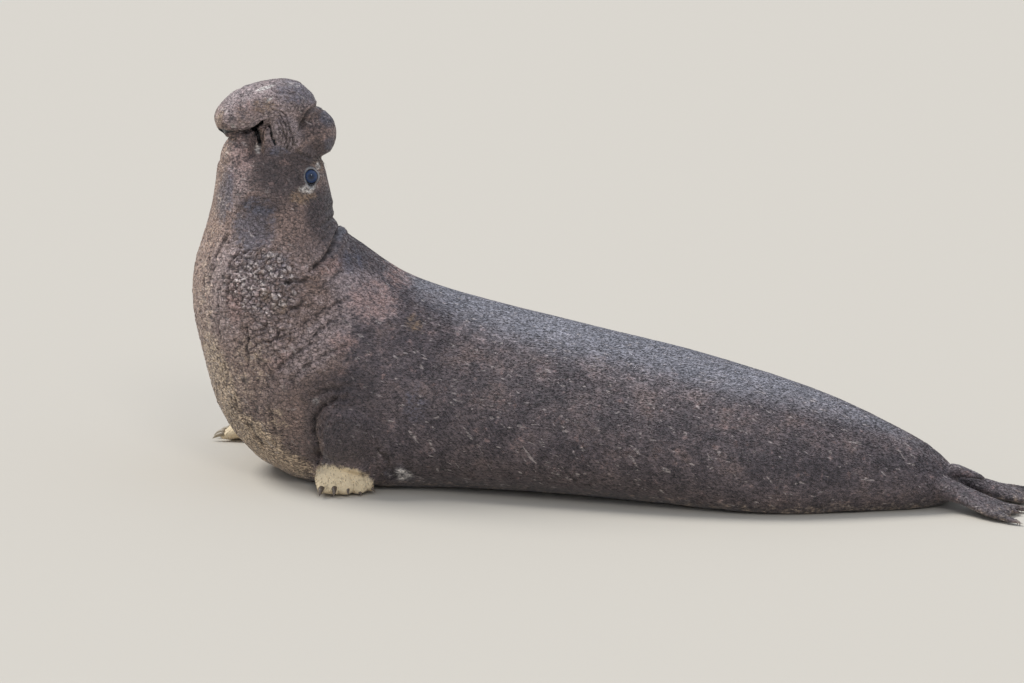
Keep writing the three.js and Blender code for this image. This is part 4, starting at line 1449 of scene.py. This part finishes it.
skin_tree = KDTree(len(points))
pixels = in_photo(straight)
for index, (pixel, spot) in enumerate(zip(pixels, straight)):
    skin_tree.insert((pixel[0], pixel[1], APART * (spot[1] > 0)), index)
skin_tree.balance()


def whisker_rows():
    """Where each whisker stands in the photo, and its share of the full length."""
    for row in range(WHISKER_ROWS):
        for step in range(WHISKERS_A_ROW):
            yield (PAD_PLACE["first"][0] + row * PAD_PLACE["row"][0] + step * PAD_PLACE["step"][0],
                   PAD_PLACE["first"][1] + row * PAD_PLACE["row"][1] + step * PAD_PLACE["step"][1],
                   1.0 - SHORTER * step)
    for step in range(BROW_PLACE["count"]):
        yield (BROW_PLACE["first"][0] + step * BROW_PLACE["step"][0],
               BROW_PLACE["first"][1] + step * BROW_PLACE["step"][1], BROW_SHARE)


whisker_finish = Finish("whisker")
here = whisker_finish.place()
shade = whisker_finish.noise(here, 90.0, 2.0, 0.5)
whisker_tone = whisker_finish.mix(shade.between(0.4, 0.6), colour("2a2320"), colour("6f6355"))
whisker_finish.surface({"Base Color": whisker_tone, "Roughness": 0.45})

for side, sign in (("left", -1), ("right", 1)):
    all_hairs = bmesh.new()
    for across, down, share in whisker_rows():
        across += float(random.uniform(-STRAY, STRAY))
        down += float(random.uniform(-STRAY, STRAY))
        _, index, _ = skin_tree.find((across, down, APART * (sign > 0)))
        root, up = Vector(points[index]), Vector(normal[index])
        back = Vector(bend((straight[index] + (0.01, 0, -0.014))[None])[0]) - root
        back = (back - back.dot(up) * up).normalized()
        length = WHISKER["long"] * share * float(random.uniform(0.8, 1.15))
        hair = bmesh.new()
        bmesh.ops.create_cone(hair, cap_ends=True, segments=WHISKER_SIDES, radius1=WHISKER["thick"],
                              radius2=WHISKER["thick"] * WHISKER["taper"], depth=length,
                              matrix=Matrix.Translation((0, 0, length / 2)))
        risers = [e for e in hair.edges if abs(e.verts[0].co.z - e.verts[1].co.z) > 0.5 * length]
        bmesh.ops.subdivide_edges(hair, edges=risers, cuts=WHISKER_SECTIONS)
        sideways = up.cross(back)
        for vert in hair.verts:
            part = vert.co.z / length
            lean = 0.55 * part + 0.9 * part * part
            centre = root - WHISKER["sunk"] * up
            centre += length * (part * (1 - 0.62 * part) * up + 0.72 * lean * back)
            vert.co = centre + vert.co.x * sideways + vert.co.y * (up * 0.7 - back * 0.7)
        mesh = bpy.data.meshes.new("hair")
        hair.to_mesh(mesh)
        hair.free()
        all_hairs.from_mesh(mesh)
        bpy.data.meshes.remove(mesh)
    bmesh.ops.recalc_face_normals(all_hairs, faces=all_hairs.faces)
    piece = new_piece("whiskers_" + side, all_hairs)
    piece.data.materials.append(whisker_finish.material)
    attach(piece, "root")
print("two sets of whiskers")

# %% [markdown]
# ## Floor and light
# The photo was taken under a bright, hazy sky with the sun high and to the left, a little behind the
# seal. A wide, soft sun and a pale sky give the same gentle light in a studio.

# %% Floor and light
FLOOR_REACH = 300.0
# Where each light comes from: to the camera's right, away from it, and up.
LIGHTS = {
    "sun": {"strength": 2.6, "spread": math.radians(24), "source": (-0.62, 0.30, 0.85)},
    "fill": {"strength": 0.45, "spread": math.radians(16), "source": (0.20, -0.8, 0.75)},
}
SKY = {"colour": colour("dde5f4"), "strength": 0.80}

ground = bmesh.new()
bmesh.ops.create_grid(ground, x_segments=1, y_segments=1, size=FLOOR_REACH)
floor = new_piece("floor", ground)
floor_finish = Finish("floor")
floor_finish.surface({"Base Color": colour("bfb8ab"), "Roughness": 0.9})
floor.data.materials.append(floor_finish.material)

for name, how in LIGHTS.items():
    light = bpy.data.lights.new(name, "SUN")
    light.energy = how["strength"]
    light.angle = how["spread"]
    right, away, high = how["source"]
    source = right * to_right + away * level + Vector((0, 0, high))
    lamp = bpy.data.objects.new(name, light)
    lamp.rotation_euler = (-source).to_track_quat("-Z", "Y").to_euler()
    bpy.context.scene.collection.objects.link(lamp)

world = bpy.data.worlds.new("sky")
world.use_nodes = True
world.node_tree.nodes["Background"].inputs["Color"].default_value = SKY["colour"]
world.node_tree.nodes["Background"].inputs["Strength"].default_value = SKY["strength"]
bpy.context.scene.world = world
bpy.context.scene.view_settings.view_transform = "Standard"
print(len(LIGHTS), "lights, and a sky of", SKY["strength"])
